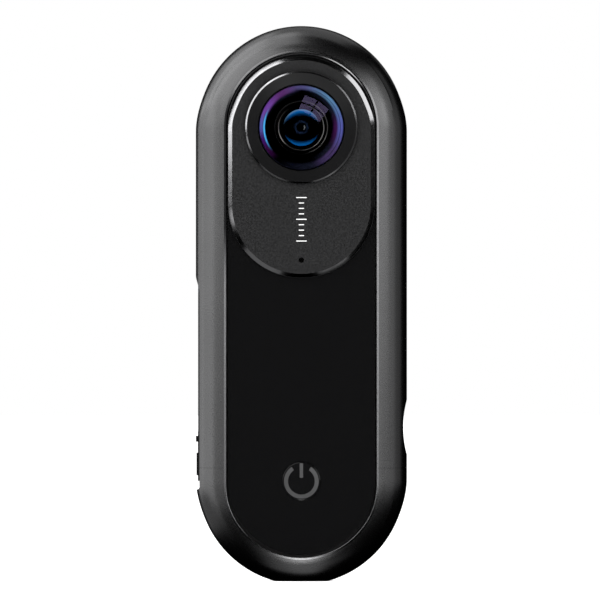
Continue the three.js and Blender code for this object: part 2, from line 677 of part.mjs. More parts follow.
// ---- Plug mechanism ----------------------------------------------------------------------------
// One flank of an involute tooth: points [radius, angle from the tooth's middle], root to tip.
function toothFlank(rootRadius, tipRadius) {
  const base = PITCH_RADIUS * Math.cos(PRESSURE_ANGLE);
  const involute = (a) => Math.tan(a) - a;
  const halfTooth = Math.PI / (2 * TEETH) - FLANK_PLAY / PITCH_RADIUS;
  const angleAt = (r) => halfTooth + involute(PRESSURE_ANGLE) - involute(Math.acos(Math.min(1, base / r)));
  const steps = 4;
  const low = Math.max(base, rootRadius);
  const rise = Array.from({ length: steps + 1 }, (_, i) => low + ((tipRadius - low) * i) / steps);
  return [[rootRadius, angleAt(low)], ...rise.map((r) => [r, angleAt(r)])];
}

// The pinion stands in mesh with both racks: one tooth points at the slider's rack (-X).
function pinion() {
  const flank = toothFlank(PITCH_RADIUS - DEDENDUM, PITCH_RADIUS + ADDENDUM);
  const points = [];
  for (let k = 0; k < TEETH; k++) {
    const middle = Math.PI + (2 * Math.PI * k) / TEETH;
    for (const [r, a] of flank) points.push([r, middle - a]);
    for (const [r, a] of [...flank].reverse()) points.push([r, middle + a]);
  }
  const shape = new THREE.Shape(points.map(([r, a]) => new THREE.Vector2(r * Math.cos(a), r * Math.sin(a))));
  const halfLength = 2.4;
  const gear = new THREE.ExtrudeGeometry(shape, { depth: 2 * halfLength, bevelEnabled: false });
  // The gear's drawing plane becomes XZ.
  const body = solid(gear.translate(0, 0, -halfLength).rotateX(Math.PI / 2)).subtract(
    bar("y", 0.85, -4, 4, 0, 0, 24),
  );
  const result = mesh("pinion", body, MATERIAL.brass);
  result.position.set(PINION_X, 0, PINION_Z);
  return result;
}

function pinionAxle() {
  return mesh("pinion_axle", bar("y", 0.75, -3.9, 3.9, PINION_X, PINION_Z, 24), MATERIAL.steel);
}

// A straight rack's outline in its own plane: teeth along u, pointing to +v, from u0 to u1, with the
// pitch line at v = 0, its back at v = -depth, and either a tooth or a space at u = 0.
function rackOutline(u0, u1, depth, toothAtZero) {
  const pitch = Math.PI * MODULE;
  const slope = Math.tan(PRESSURE_ANGLE);
  const halfAt = (v) => pitch / 4 - FLANK_PLAY - v * slope;
  const points = [
    [u1, -depth],
    [u0, -depth],
    [u0, -DEDENDUM],
  ];
  const first = Math.ceil((u0 + halfAt(-DEDENDUM)) / pitch - (toothAtZero ? 0 : 0.5));
  for (let k = first; ; k++) {
    const middle = (k + (toothAtZero ? 0 : 0.5)) * pitch;
    if (middle + halfAt(-DEDENDUM) > u1) break;
    points.push([middle - halfAt(-DEDENDUM), -DEDENDUM]);
    points.push([middle - halfAt(ADDENDUM), ADDENDUM]);
    points.push([middle + halfAt(ADDENDUM), ADDENDUM]);
    points.push([middle + halfAt(-DEDENDUM), -DEDENDUM]);
  }
  points.push([u1, -DEDENDUM]);
  return points;
}

// Extrudes an outline of [x, z] points along Y.
function profileXZ(points, y0, y1) {
  const shape = new THREE.Shape(points.map(([x, z]) => new THREE.Vector2(x, z)));
  const flat = new THREE.ExtrudeGeometry(shape, { depth: y1 - y0, bevelEnabled: false });
  return solid(flat.rotateX(Math.PI / 2).translate(0, y1, 0));
}

// The upright rack that the thumb slider carries on an arm, behind the pinion's middle.
function sliderRack() {
  const pitchX = PINION_X - PITCH_RADIUS;
  const layer = [0.3, 2.3];
  const teeth = rackOutline(-STROKE - 1.6, 1.6, 2.2, false).map(([u, v]) => [pitchX + v, PINION_Z + u]);
  const body = profileXZ(teeth, ...layer)
    .add(block([-15.5, pitchX - DEDENDUM - 0.2], layer, [17.7, 20.5]))
    .add(block([-15.9, -13], [-1.2, layer[1]], [17.7, 21.7]))
    .subtract(
      block([-17, -14.9], [-STEM.halfY - 0.05, STEM.halfY + 0.05], [STEM.low - 0.05, STEM.high + 0.05]),
    );
  return mesh("slider_rack", body, MATERIAL.greyPlastic);
}

const HOLDER = { left: 0.4, right: 7.5, low: 22.3, high: 30.6, y: 2.3 };

// The sledge that carries the plug, with its rack over the pinion's front half.
function plugCarriage() {
  const pitchZ = PINION_Z + PITCH_RADIUS;
  // Teeth point down, so the outline's +v is -Z.
  const teeth = rackOutline(-STROKE - 1.6, 2.6, 2.6, true)
    .map(([u, v]) => [PINION_X + u, pitchZ - v])
    .reverse();
  const body = profileXZ(teeth, -2.3, -0.3)
    .add(block([HOLDER.left, HOLDER.right], [-HOLDER.y, HOLDER.y], [HOLDER.low, HOLDER.high]))
    .subtract(block([5.4, 9], [-1.05, 1.05], [PLUG_Z - 3.6, PLUG_Z + 3.6]));
  return mesh("plug_carriage", body, MATERIAL.greyPlastic);
}

// The phone plug: a flat tongue with round edges on a slightly stouter shank.
function phonePlug() {
  const body = oblong([10.4, 17.2], 0.75, PLUG_Z - 3.35, PLUG_Z + 3.35).add(
    oblong([5.5, 10.5], 0.95, PLUG_Z - 3.5, PLUG_Z + 3.5),
  );
  return mesh("phone_plug", body, MATERIAL.steel);
}

// The lining of the plug's port, at the bottom of the scoop.
function plugPortTrim() {
  const body = oblong([16.5, 17.5], 1.6, PLUG_Z - 4.2, PLUG_Z + 4.2).subtract(
    oblong([16, 18], 1.1, PLUG_Z - 3.7, PLUG_Z + 3.7),
  );
  return mesh("plug_port_trim", body, MATERIAL.blackPlastic);
}

// ---- Assembly ----------------------------------------------------------------------------------
const camera = new THREE.Group();
camera.add(
  ...housing(),
  tripodNut(),
  face("front"),
  face("rear"),
  ...screws(),
  midChassis(),
  mechanismCover(),
  opticsHousing(),
  ...electronics(),
  sensorFlex("front"),
  sensorFlex("rear"),
  buttonCap(),
  sideStrip(),
  statusLight(),
  sliderKnob(),
  cardSocket(),
  memoryCard(),
  chargingSocket(),
  pinion(),
  pinionAxle(),
  sliderRack(),
  plugCarriage(),
  phonePlug(),
  plugPortTrim(),
);

export default camera;
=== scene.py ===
"""Looks of the action camera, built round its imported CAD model. X is the width, -Y the front, Z up."""

from math import atan2, cos, hypot, pi, radians, sin, tan

import bmesh
import bpy
from mathutils import Matrix, Vector

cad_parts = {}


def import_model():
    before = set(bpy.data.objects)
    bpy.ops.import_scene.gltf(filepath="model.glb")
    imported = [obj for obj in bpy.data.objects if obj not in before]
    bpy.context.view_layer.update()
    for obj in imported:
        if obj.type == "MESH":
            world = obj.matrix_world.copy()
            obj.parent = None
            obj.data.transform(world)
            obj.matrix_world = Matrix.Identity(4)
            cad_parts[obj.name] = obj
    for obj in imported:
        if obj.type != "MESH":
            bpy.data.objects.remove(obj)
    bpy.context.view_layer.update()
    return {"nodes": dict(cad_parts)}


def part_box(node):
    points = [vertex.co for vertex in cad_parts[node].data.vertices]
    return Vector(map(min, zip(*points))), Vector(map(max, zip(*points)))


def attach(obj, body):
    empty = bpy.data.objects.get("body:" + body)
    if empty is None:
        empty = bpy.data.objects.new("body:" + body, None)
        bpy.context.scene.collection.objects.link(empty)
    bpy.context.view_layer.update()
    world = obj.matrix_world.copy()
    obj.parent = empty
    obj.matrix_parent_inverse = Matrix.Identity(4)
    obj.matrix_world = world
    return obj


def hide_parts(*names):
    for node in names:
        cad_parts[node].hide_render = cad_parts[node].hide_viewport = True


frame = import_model()
NODES = frame["nodes"]
SCENE = bpy.context.scene

MM = 0.001
BODY = "camera_body"
SIDES = ("front", "rear")

# ---- Driving sizes in millimetres, read off the CAD nodes where possible ----


def span(node, axis):
    """A node's lowest and highest millimetre along an axis, 0 to 2."""
    low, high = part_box(node)
    return low[axis] / MM, high[axis] / MM


X, Y, Z = 0, 1, 2
END_R = span("frame_shell", X)[1]
HEIGHT = span("frame_shell", Z)[1]
FACE_Y = span("frame_shell", Y)[1]
OUTER_LOW = 17.65
OUTER_HIGH = HEIGHT - END_R
SIDE_FLAT_Y = 2.4
OPENING_R = 13.0
RIM_CHAMFER = 0.37
RIM_DROP = 0.06
FACE_TILT = 13.5
CAVITY_R = END_R - 1.85
CAVITY_Y = 6.0
SEAM_LOW = span("base_cap", Z)[1]
SEAM_HIGH = span("frame_shell", Z)[0]

LENS_Z = sum(span("front_dome_lens", Z)) / 2
DOME_R = span("front_dome_lens", X)[1]
DOME_APEX = -span("front_dome_lens", Y)[0]
BUTTON_Z = sum(span("shutter_button", Z)) / 2
PANEL_R = span("front_panel", X)[1]
PANEL_FRONT, PANEL_BACK = (-y for y in span("front_panel", Y))
PANEL_LIP = 0.2
PLATE_R = span("front_lens_plate", X)[1]
PLATE_LOW = span("front_lens_plate", Z)[0] + PLATE_R
PLATE_FRONT, PLATE_BACK = (-y for y in span("front_lens_plate", Y))
BEZEL_R = span("front_lens_bezel", X)[1]
LENS_HOLE_R = 9.0
BUTTON_R = 3.3
BUTTON_GAP = 0.12
MIC_Z = sum(span("microphone", Z)) / 2
MIC_R = 0.45

# ---- Camera ----
VIEW_WIDTH = 103.86
VIEW_DISTANCE = 2800
VIEW_CENTRE = (-0.24, 48.62)


def linked(name, data):
    """A new object in the scene."""
    obj = bpy.data.objects.new(name, data)
    SCENE.collection.objects.link(obj)
    return obj


def add_camera():
    data = bpy.data.cameras.new("camera")
    data.sensor_width = 36
    data.lens = data.sensor_width * VIEW_DISTANCE / VIEW_WIDTH
    data.clip_start, data.clip_end = 0.01, 20
    camera = linked("camera", data)
    camera.location = Vector((VIEW_CENTRE[0], -VIEW_DISTANCE, VIEW_CENTRE[1])) * MM
    camera.rotation_euler = (pi / 2, 0, 0)
    SCENE.camera = camera


add_camera()
SCENE.view_settings.view_transform = "Standard"

# ---- Materials ----


class Shader:
    """A Principled material, with short ways to wire nodes."""

    def __init__(self, name, colour, roughness=0.5, metallic=0.0, **sockets):
        self.material = bpy.data.materials.new(name)
        self.material.use_nodes = True
        self.tree = self.material.node_tree
        self.principled = self.tree.nodes["Principled BSDF"]
        self.set("Base Color", (*colour, 1))
        self.set("Roughness", roughness)
        self.set("Metallic", metallic)
        for socket, value in sockets.items():
            self.set(socket.replace("_", " "), value)
        self.colour = colour
        self.coordinates = self.add("ShaderNodeTexCoord").outputs["Object"]

    def set(self, socket, source):
        """Gives one of the Principled node's sockets a plain value or another socket."""
        self.wire(source, self.principled.inputs[socket])

    def add(self, kind, **settings):
        node = self.tree.nodes.new(kind)
        for key, value in settings.items():
            setattr(node, key, value)
        return node

    def wire(self, source, target):
        """Feeds a socket with another socket or with a plain value."""
        if isinstance(source, bpy.types.NodeSocket):
            self.tree.links.new(source, target)
        else:
            target.default_value = source

    def math(self, operation, first, second=0.0):
        node = self.add("ShaderNodeMath", operation=operation)
        self.wire(first, node.inputs[0])
        self.wire(second, node.inputs[1])
        return node.outputs[0]

    def times(self, first, second):
        return self.math("MULTIPLY", first, second)

    def place(self, axis):
        """The coordinate along an axis, in millimetres."""
        split = self.add("ShaderNodeSeparateXYZ")
        self.wire(self.coordinates, split.inputs[0])
        return self.times(split.outputs[axis], 1 / MM)

    def blend(self, share, first, second):
        """Makes the surface a mixture of two shaders' sockets."""
        node = self.add("ShaderNodeMixShader")
        for value, socket in zip((share, first, second), node.inputs):
            self.wire(value, socket)
        self.wire(node.outputs[0], self.tree.nodes["Material Output"].inputs["Surface"])

    def mix(self, share, low, high, blend="MIX"):
        """Mixes two colours, each a socket or an (r, g, b)."""
        node = self.add("ShaderNodeMix", data_type="RGBA", blend_type=blend)
        self.wire(share, node.inputs["Factor"])
        for value, socket in ((low, node.inputs[6]), (high, node.inputs[7])):
            self.wire(value if isinstance(value, bpy.types.NodeSocket) else (*value, 1), socket)
        return node.outputs[2]

    def noise(self, size, detail=3.0, stretch=(1, 1, 1)):
        """Noise whose blots are about this many millimetres across."""
        mapping = self.add("ShaderNodeMapping")
        mapping.inputs["Scale"].default_value = stretch
        self.wire(self.coordinates, mapping.inputs["Vector"])
        noise = self.add("ShaderNodeTexNoise")
        self.wire(mapping.outputs[0], noise.inputs["Vector"])
        noise.inputs["Scale"].default_value = 1 / (size * MM)
        noise.inputs["Detail"].default_value = detail
        return noise.outputs[0]

    def ramp(self, source, low, high, out_low=0.0, out_high=1.0, smooth=True):
        """Maps a value's range low to high onto out_low to out_high, and stays within it."""
        node = self.add("ShaderNodeMapRange", interpolation_type="SMOOTHSTEP" if smooth else "LINEAR")
        for value, socket in zip((source, low, high, out_low, out_high), node.inputs):
            self.wire(value, socket)
        return node.outputs[0]

    def band(self, value, centre, half_width, softness):
        """1 within half_width of centre, falling to 0 over softness beyond it."""
        distance = self.math("ABSOLUTE", self.math("SUBTRACT", value, centre))
        return self.ramp(distance, half_width, half_width + softness, 1, 0)

    def bump(self, height, depth, strength=1.0):
        """Roughens the surface by a height map of this depth in millimetres."""
        node = self.add("ShaderNodeBump")
        node.inputs["Strength"].default_value = strength
        node.inputs["Distance"].default_value = depth * MM
        self.wire(height, node.inputs["Height"])
        self.set("Normal", node.outputs[0])

    def grain(self, size=0.2, depth=0.01, mottle=0.12, mottle_size=6.0, uneven=0.05, speckle=0.0):
        """Fine grain in relief, roughness and colour over a broad, faint mottle."""
        fine = self.noise(size)
        broad = self.noise(mottle_size, detail=2)
        both = self.math("ADD", self.times(fine, speckle), self.times(broad, 1 - speckle))
        share = self.ramp(both, 0.3, 0.7, smooth=False)
        darker = tuple(c * (1 - mottle) for c in self.colour)
        lighter = tuple(min(1, c * (1 + mottle)) for c in self.colour)
        self.set("Base Color", self.mix(share, darker, lighter))
        roughness = self.principled.inputs["Roughness"].default_value
        varied = self.ramp(fine, 0.3, 0.7, max(0, roughness - uneven), min(1, roughness + uneven))
        self.set("Roughness", varied)
        self.bump(fine, depth)
        return self


def clock(shader, side, across=0.0, up=0.0):
    """Sockets for the radius in millimetres about a lens's axis, or about a point this far across and up
    from it, and for the turn from 12 o'clock, 0 to 1. The rear lens counts from the rear's left."""
    x = shader.times(shader.place(X), 1 if side == "front" else -1)
    x = shader.math("SUBTRACT", x, across)
    z = shader.math("SUBTRACT", shader.place(Z), LENS_Z + up)
    squares = shader.math("ADD", shader.times(x, x), shader.times(z, z))
    angle = shader.math("ARCTAN2", x, z)
    turn = shader.math("FRACT", shader.math("ADD", shader.math("DIVIDE", angle, 2 * pi), 1))
    return shader.math("SQRT", squares), turn


def clock_colours(shader, turn, stops):
    """Colours round the clock from {hour: (r, g, b)}, hour 0 included."""
    node = shader.add("ShaderNodeValToRGB")
    shader.wire(turn, node.inputs[0])
    ring = node.color_ramp
    ring.interpolation = "EASE"
    while len(ring.elements) > 1:
        ring.elements.remove(ring.elements[0])
    ring.elements[0].position = 0
    ring.elements[0].color = (*stops[0], 1)
    for hour, colour in sorted({**stops, 12: stops[0]}.items())[1:]:
        ring.elements.new(hour / 12).color = (*colour, 1)
    return node.outputs[0]


def polished(name, colour, roughness):
    shader = Shader(name, colour, roughness, 1.0)
    return shader.grain(size=0.5, depth=0.001, mottle=0.04, uneven=0.02)


def frame_rim():
    """The mouth's polished bead. On the panel's left side its colour is painted light:
    a painted highlight low down and painted shade beside the lens plate.
    """
    shader = polished("frame_rim_polished", (0.25, 0.25, 0.255), 0.2)
    left = shader.ramp(shader.place(X), -11, -13)
    high = shader.ramp(shader.place(Z), 50, 62)
    # Painted highlight below 50 mm fading to painted shade above 62 mm, on the left side only.
    painted_rim_light = shader.mix(high, (0.36, 0.36, 0.37), (0.025, 0.025, 0.026))
    shader.set("Base Color", shader.mix(left, shader.colour, painted_rim_light))
    return shader


def plastic(name, colour, roughness=0.5, size=0.15, depth=0.006, gloss=0.5):
    shader = Shader(name, colour, roughness, Specular_IOR_Level=gloss)
    return shader.grain(size=size, depth=depth, mottle=0.15)


def gloss_black(name="gloss_black"):
    shader = Shader(name, (0.0045, 0.0045, 0.0047), 0.06)
    return shader.grain(size=4, depth=0.002, mottle=0.1, mottle_size=15, uneven=0.02)


def panel_gloss(side):
    """Gloss black, with a pale painted highlight on the edge by the metal lip, strong at 1 o'clock."""
    shader = gloss_black(f"panel_gloss_{side}")
    radius, turn = clock(shader, side)
    # The edge band is a painted highlight: faint round the clock, bright at 1 o'clock.
    edge = shader.band(radius, PANEL_R + PANEL_LIP - 0.02, 0.11, 0.16)
    painted_highlight = shader.mix(shader.band(turn, 0.1, 0.018, 0.046), (0.035, 0.035, 0.0355), (0.65, 0.65, 0.66))
    shader.set("Base Color", shader.mix(edge, shader.colour, painted_highlight))
    return shader


def board_green():
    """Solder mask over a grid of tracks, with tinned pads."""
    shader = Shader("board_green", (0.012, 0.11, 0.05), 0.35, Coat_Weight=0.4)
    brick = shader.add("ShaderNodeTexBrick", offset=0.37, squash=0.6)
    brick.inputs["Scale"].default_value = 700
    brick.inputs["Mortar Size"].default_value = 0.05
    turned = shader.add("ShaderNodeMapping")
    turned.inputs["Rotation"].default_value = (pi / 2, 0, 0)
    shader.wire(shader.coordinates, turned.inputs["Vector"])
    shader.wire(turned.outputs[0], brick.inputs["Vector"])
    tracks = brick.outputs["Fac"]
    pads = shader.ramp(shader.noise(0.9, detail=0), 0.66, 0.7)
    masked = shader.mix(tracks, (0.01, 0.085, 0.04), (0.03, 0.2, 0.09))
    shader.set("Base Color", shader.mix(pads, masked, (0.6, 0.5, 0.3)))
    shader.set("Metallic", pads)
    shader.bump(tracks, 0.03, 0.5)
    return shader


def foil():
    """The battery's pouch: crinkled aluminium laminate."""
    shader = Shader("battery_foil", (0.45, 0.46, 0.48), 0.32, 1.0)
    crinkle = shader.noise(2.4, detail=4, stretch=(1, 1, 0.5))
    shader.set("Roughness", shader.ramp(crinkle, 0.3, 0.7, 0.25, 0.45))
    shader.bump(crinkle, 0.15)
    return shader


def brushed(name, colour, roughness=0.28):
    """Metal with fine drawn lines across its height."""
    shader = Shader(name, colour, roughness, 1.0)
    lines = shader.noise(0.5, detail=4, stretch=(1, 1, 14))
    shader.set("Roughness", shader.ramp(lines, 0.3, 0.7, roughness - 0.08, roughness + 0.1))
    shader.bump(lines, 0.004)
    return shader


def dome_glass(name, reflection_tint, roughness, ior):
    """Coated glass: almost clear, with a faint tinted gloss."""
    shader = Shader(name, reflection_tint)
    shader.tree.nodes.remove(shader.principled)
    clear = shader.add("ShaderNodeBsdfTransparent")
    gloss = shader.add("ShaderNodeBsdfGlossy")
    shader.wire((*reflection_tint, 1), gloss.inputs["Color"])
    shader.wire(roughness, gloss.inputs["Roughness"])
    fresnel = shader.add("ShaderNodeFresnel")
    # The index is turned over on the inner face, so that light leaves the glass as easily as it enters.
    backfacing = shader.add("ShaderNodeNewGeometry").outputs["Backfacing"]
    shader.wire(shader.ramp(backfacing, 0, 1, ior, 1 / ior, smooth=False), fresnel.inputs["IOR"])
    shader.blend(fresnel.outputs[0], clear.outputs[0], gloss.outputs[0])
    return shader


# Colours of the lens's painted coating reflections, and its blacks.
NONE = (0.0, 0.0, 0.0)
INK = (0.006, 0.007, 0.014)
DUSK = (0.055, 0.05, 0.14)
SKY = (0.08, 0.18, 0.32)
INDIGO = (0.075, 0.085, 0.31)
PLUM = (0.055, 0.034, 0.11)
VIOLET = (0.13, 0.045, 0.27)
WINE = (0.025, 0.003, 0.035)
PURPLE = (0.045, 0.008, 0.11)
MAUVE = (0.075, 0.022, 0.11)
AZURE = (0.07, 0.42, 0.85)
BLUE = (0.004, 0.17, 0.6)
DEEP_BLUE = (0.002, 0.07, 0.24)
PALE_BLUE = (0.12, 0.27, 0.46)

# The painted reflection colours by hour round the outer and inner parts of the dome's coated slope.
RIM_OUTER_REFLECTIONS = {0: DUSK, 1.5: SKY, 3: INDIGO, 4.3: PLUM, 5.6: INK, 7.2: NONE}
RIM_OUTER_REFLECTIONS |= {7.9: WINE, 8.4: PURPLE, 9.1: INDIGO, 9.9: VIOLET, 11: MAUVE}
RIM_INNER_REFLECTIONS = {0: NONE, 2: INK, 3.1: (0.035, 0.006, 0.045), 4.3: INK, 5.5: NONE, 9.5: NONE, 11: INK}

# Painted highlight greys by hour on the edges of the two thin rings inside the barrel.
SMALL_RING_HIGHLIGHTS = {0: 0.0, 2: 0.1, 3: 0.2, 4.2: 0.2, 5: 0.08, 6: 0.03}
SMALL_RING_HIGHLIGHTS |= {7.2: 0.04, 8: 0.3, 9: 0.11, 10: 0.045, 11: 0.0}
LARGE_RING_HIGHLIGHTS = {0: 0.02, 1.2: 0.1, 3: 0.09, 4: 0.16, 5: 0.07, 5.8: 0.0}
SMALL_RING_R, LARGE_RING_R = 3.92, 4.5


def rim_coat_painted_reflections(side):
    """The coated slope under the dome's edge. Its colours are painted reflections of the coating:
    bands of violet, pale blue and indigo round a black well.
    """
    shader = Shader(f"{side}_rim_coat", NONE, 0.5, Specular_IOR_Level=0)
    radius, turn = clock(shader, side)
    well, _ = clock(shader, side, -0.14, 0.14)
    outer = clock_colours(shader, turn, RIM_OUTER_REFLECTIONS)
    deep = clock_colours(shader, turn, RIM_INNER_REFLECTIONS)
    glow = shader.mix(shader.ramp(well, 5.4, 6.1), NONE, deep)
    glow = shader.mix(shader.ramp(well, 6.15, 6.75), glow, outer)
    wide = shader.times(shader.band(turn, 0.89, 0.04, 0.07), shader.ramp(radius, 6.0, 6.6))
    glow = shader.mix(wide, glow, outer)
    right = shader.band(turn, 0.22, 0.14, 0.06)
    # A thin dark line in the painted reflection, on the right side only.
    dark_line = shader.times(right, shader.band(radius, 6.72, 0.03, 0.1))
    glow = shader.mix(shader.times(dark_line, 0.6), glow, INK)
    left = shader.times(shader.band(turn, 0.742, 0.014, 0.09), shader.band(radius, 6.45, 0.04, 0.17))
    glow = shader.mix(left, glow, AZURE)
    glow = shader.mix(shader.ramp(radius, 7.12, 7.3), glow, INK)
    shader.set("Base Color", glow)
    return shader


def inner_glass(side):
    """The second element: black glass with blue crescents above and below, painted reflections of its
    coating, and a pupil with a painted glint.
    """
    shader = Shader(f"{side}_inner_glass", NONE, 0.05, Specular_IOR_Level=0.2)
    radius, turn = clock(shader, side)
    below, _ = clock(shader, side, 0.1, -2.2)
    above, _ = clock(shader, side, 0, 2.0)
    # The crescents are painted reflections of the coating.
    inside = shader.ramp(radius, 3.2, 3.1)
    reflection_tint = shader.mix(shader.ramp(radius, 2.2, 2.8), DEEP_BLUE, BLUE)
    upper_crescent_reflection = shader.mix(shader.ramp(radius, 2.75, 3.1), reflection_tint, PALE_BLUE)
    upper = shader.times(inside, shader.ramp(below, 4.05, 5.5))
    lower = shader.times(inside, shader.ramp(above, 4.2, 5.4, 0, 0.6))
    glow = shader.mix(upper, NONE, upper_crescent_reflection)
    glow = shader.mix(lower, glow, reflection_tint)
    glow = shader.mix(shader.band(radius, 1.02, 0.04, 0.3), glow, (0.003, 0.006, 0.015))
    # The glint is a painted highlight.
    glint = shader.times(shader.band(radius, 0.55, 0.02, 0.13), shader.band(turn, 0.26, 0.04, 0.12))
    glow = shader.mix(glint, glow, (0.1, 0.11, 0.115))
    shader.set("Base Color", glow)
    return shader


def ring_edge_highlights(side):
    """The barrel's front step, with painted highlights on the thin edges of two rings: the small one sits
    off centre, and is painted only.
    """
    shader = Shader(f"{side}_barrel_ring_edge", NONE, 0.5, Specular_IOR_Level=0.1)
    radius, turn = clock(shader, side)
    small_radius, _ = clock(shader, side, -0.04)
    glow = NONE
    for measure, at, greys in ((small_radius, SMALL_RING_R, SMALL_RING_HIGHLIGHTS), (radius, LARGE_RING_R, LARGE_RING_HIGHLIGHTS)):
        # The greys by hour are painted highlights on the rings' edges.
        highlight_greys = clock_colours(shader, turn, {hour: (grey,) * 3 for hour, grey in greys.items()})
        glow = shader.mix(shader.band(measure, at, 0.03, 0.04), glow, highlight_greys)
    speck = shader.mix(shader.ramp(shader.noise(0.4), 0.3, 0.7, 0.8, 1.1), NONE, (1, 1, 1))
    shader.set("Base Color", shader.mix(1.0, glow, speck, "MULTIPLY"))
    return shader


METAL = Shader("frame_anodised", (0.15, 0.15, 0.152), 0.27, 1.0).grain(
    size=0.12, depth=0.0012, mottle=0.05, mottle_size=9, uneven=0.02, speckle=0.3
)
RIM = frame_rim()
PLATE = Shader("plate_satin", (0.018, 0.018, 0.0187), 0.42, 0.0, Specular_IOR_Level=0.5).grain(
    size=0.29, depth=0.012, mottle=0.45, mottle_size=5, uneven=0.1, speckle=0.94
)
PLATE_EDGE = polished("plate_edge_polished", (0.8, 0.8, 0.82), 0.18)
BEZEL = Shader("bezel_satin", (0.006, 0.006, 0.0065), 0.36).grain(
    size=0.12, depth=0.004, mottle=0.15, speckle=0.6
)
BEZEL_EDGE = polished("bezel_edge_polished", (0.7, 0.7, 0.72), 0.2)
GLOSS = gloss_black()
PANEL_GLOSS = {side: panel_gloss(side) for side in SIDES}
GLASS = dome_glass("dome_glass", (0.62, 0.5, 1.0), 0.02, 1.8)
GLASS_INSIDE = dome_glass("dome_glass_inside", (0.4, 0.4, 0.8), 0.45, 1.03)
RIM_COAT_REFLECTIONS = {side: rim_coat_painted_reflections(side) for side in SIDES}
INNER_GLASS = {side: inner_glass(side) for side in SIDES}
BARREL = plastic("barrel_black", (0.001, 0.001, 0.0012), size=0.1)
BARREL_RING_HIGHLIGHTS = {side: ring_edge_highlights(side) for side in SIDES}
KNOB = plastic("knob_plastic", (0.004, 0.004, 0.0042), 0.65, gloss=0.1)
INSERT = plastic("insert_plastic", (0.009, 0.009, 0.0093), 0.65, gloss=0.2)
BLACK = plastic("black_plastic", (0.02, 0.02, 0.021))
GREY = plastic("grey_plastic", (0.12, 0.125, 0.13), 0.55, size=0.25, depth=0.012)
PRINT = plastic("grey_print", (0.045, 0.045, 0.046), size=0.1, depth=0.002)
WHITE_PRINT = plastic("white_print", (0.72, 0.72, 0.72), size=0.1, depth=0.002)
BOARD = board_green()
CHIP = plastic("chip_black", (0.018, 0.018, 0.02), 0.4, size=0.1)
STEEL = brushed("steel", (0.56, 0.57, 0.58))
BRASS = brushed("brass", (0.72, 0.5, 0.2), 0.26)
GOLD = polished("contact_gold", (0.95, 0.66, 0.28), 0.2)
FOIL = foil()
FLEX = plastic("flex_film", (0.36, 0.17, 0.03), 0.3, size=0.4, depth=0.01)
CARD = plastic("card_black", (0.014, 0.014, 0.016), 0.42)
LIGHT_PIPE = plastic("light_pipe", (0.62, 0.66, 0.7), 0.25)
OPTIC = Shader("optic_glass", (0.02, 0.03, 0.05), 0.04, Coat_Weight=0.5).grain(
    size=3, depth=0.001, mottle=0.3, uneven=0.02
)

# ---- Mesh helpers ----


def adopt(name, mesh, materials, sharp=25, body=BODY):
    """Makes a piece of a mesh, which rides on a body."""
    obj = linked(name, mesh)
    for shader in materials:
        mesh.materials.append(shader.material)
    tidy(obj, sharp)
    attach(obj, body)
    return obj


def piece(name, verts, faces, materials, face_material=None, sharp=25, body=BODY):
    """A piece from points in millimetres. face_material gives each face's material index."""
    mesh = bpy.data.meshes.new(name)
    mesh.from_pydata([Vector(v) * MM for v in verts], [], faces)
    if face_material:
        mesh.polygons.foreach_set("material_index", face_material)
    return adopt(name, mesh, materials, sharp, body)


def tidy(obj, sharp=25):
    """Merges doubled points, turns every face outwards and sets the smooth shading."""
    work = bmesh.new()
    work.from_mesh(obj.data)
    bmesh.ops.remove_doubles(work, verts=work.verts, dist=1e-7)
    bmesh.ops.dissolve_degenerate(work, edges=work.edges, dist=1e-8)
    bmesh.ops.recalc_face_normals(work, faces=work.faces)
    work.to_mesh(obj.data)
    work.free()
    obj.data.shade_smooth()
    obj.data.set_sharp_from_angle(angle=radians(sharp))


def weighted(obj):
    """Lets the large flat faces set the normals that they share with small ones."""
    normals = obj.modifiers.new("normals", "WEIGHTED_NORMAL")
    normals.keep_sharp = True
    normals.weight = 80


def bevelled(obj, width, segments=2, angle=30):
    """Rounds the piece's edges by so many millimetres."""
    bevel = obj.modifiers.new("bevel", "BEVEL")
    bevel.width = width * MM
    bevel.segments = segments
    bevel.limit_method = "ANGLE"
    bevel.angle_limit = radians(angle)
    bevel.use_clamp_overlap = True
    weighted(obj)


def carve(obj, cutters, operation="DIFFERENCE", sharp=25):
    """Cuts or joins other pieces out of obj, and removes them."""
    for cutter in cutters:
        tool = obj.modifiers.new("carve", "BOOLEAN")
        tool.operation = operation
        tool.solver = "EXACT"
        tool.object = cutter
    graph = bpy.context.evaluated_depsgraph_get()
    made = bpy.data.meshes.new_from_object(obj.evaluated_get(graph), depsgraph=graph)
    obj.modifiers.clear()
    obj.data = made
    for cutter in cutters:
        bpy.data.objects.remove(cutter)
    tidy(obj, sharp)


def strips(rows, columns):
    """Faces of a grid of points that closes on itself both ways, row by row."""
    faces = []
    for i in range(rows):
        for j in range(columns):
            a, b = i * columns + j, i * columns + (j + 1) % columns
            c = (i + 1) % rows * columns + (j + 1) % columns
            faces.append((a, b, c, (i + 1) % rows * columns + j))
    return faces


def arc(u, v, semi_u, semi_v, start, end, steps):
    """Points (u, v) of an ellipse's arc round a centre, between two angles in degrees."""
    angles = [radians(start + (end - start) * i / steps) for i in range(steps + 1)]
    return [(u + semi_u * cos(a), v + semi_v * sin(a)) for a in angles]


def spherical(apex_y, edge_r, edge_y, steps):
    """Points (radius, y) of a spherical cap on the Y axis, from its apex to its edge."""
    sag = edge_y - apex_y
    radius = (edge_r**2 + sag**2) / (2 * sag)
    edge_angle = atan2(edge_r, radius - sag)
    angles = [edge_angle * i / steps for i in range(steps + 1)]
    return [(radius * sin(a), apex_y + radius * (1 - cos(a))) for a in angles]


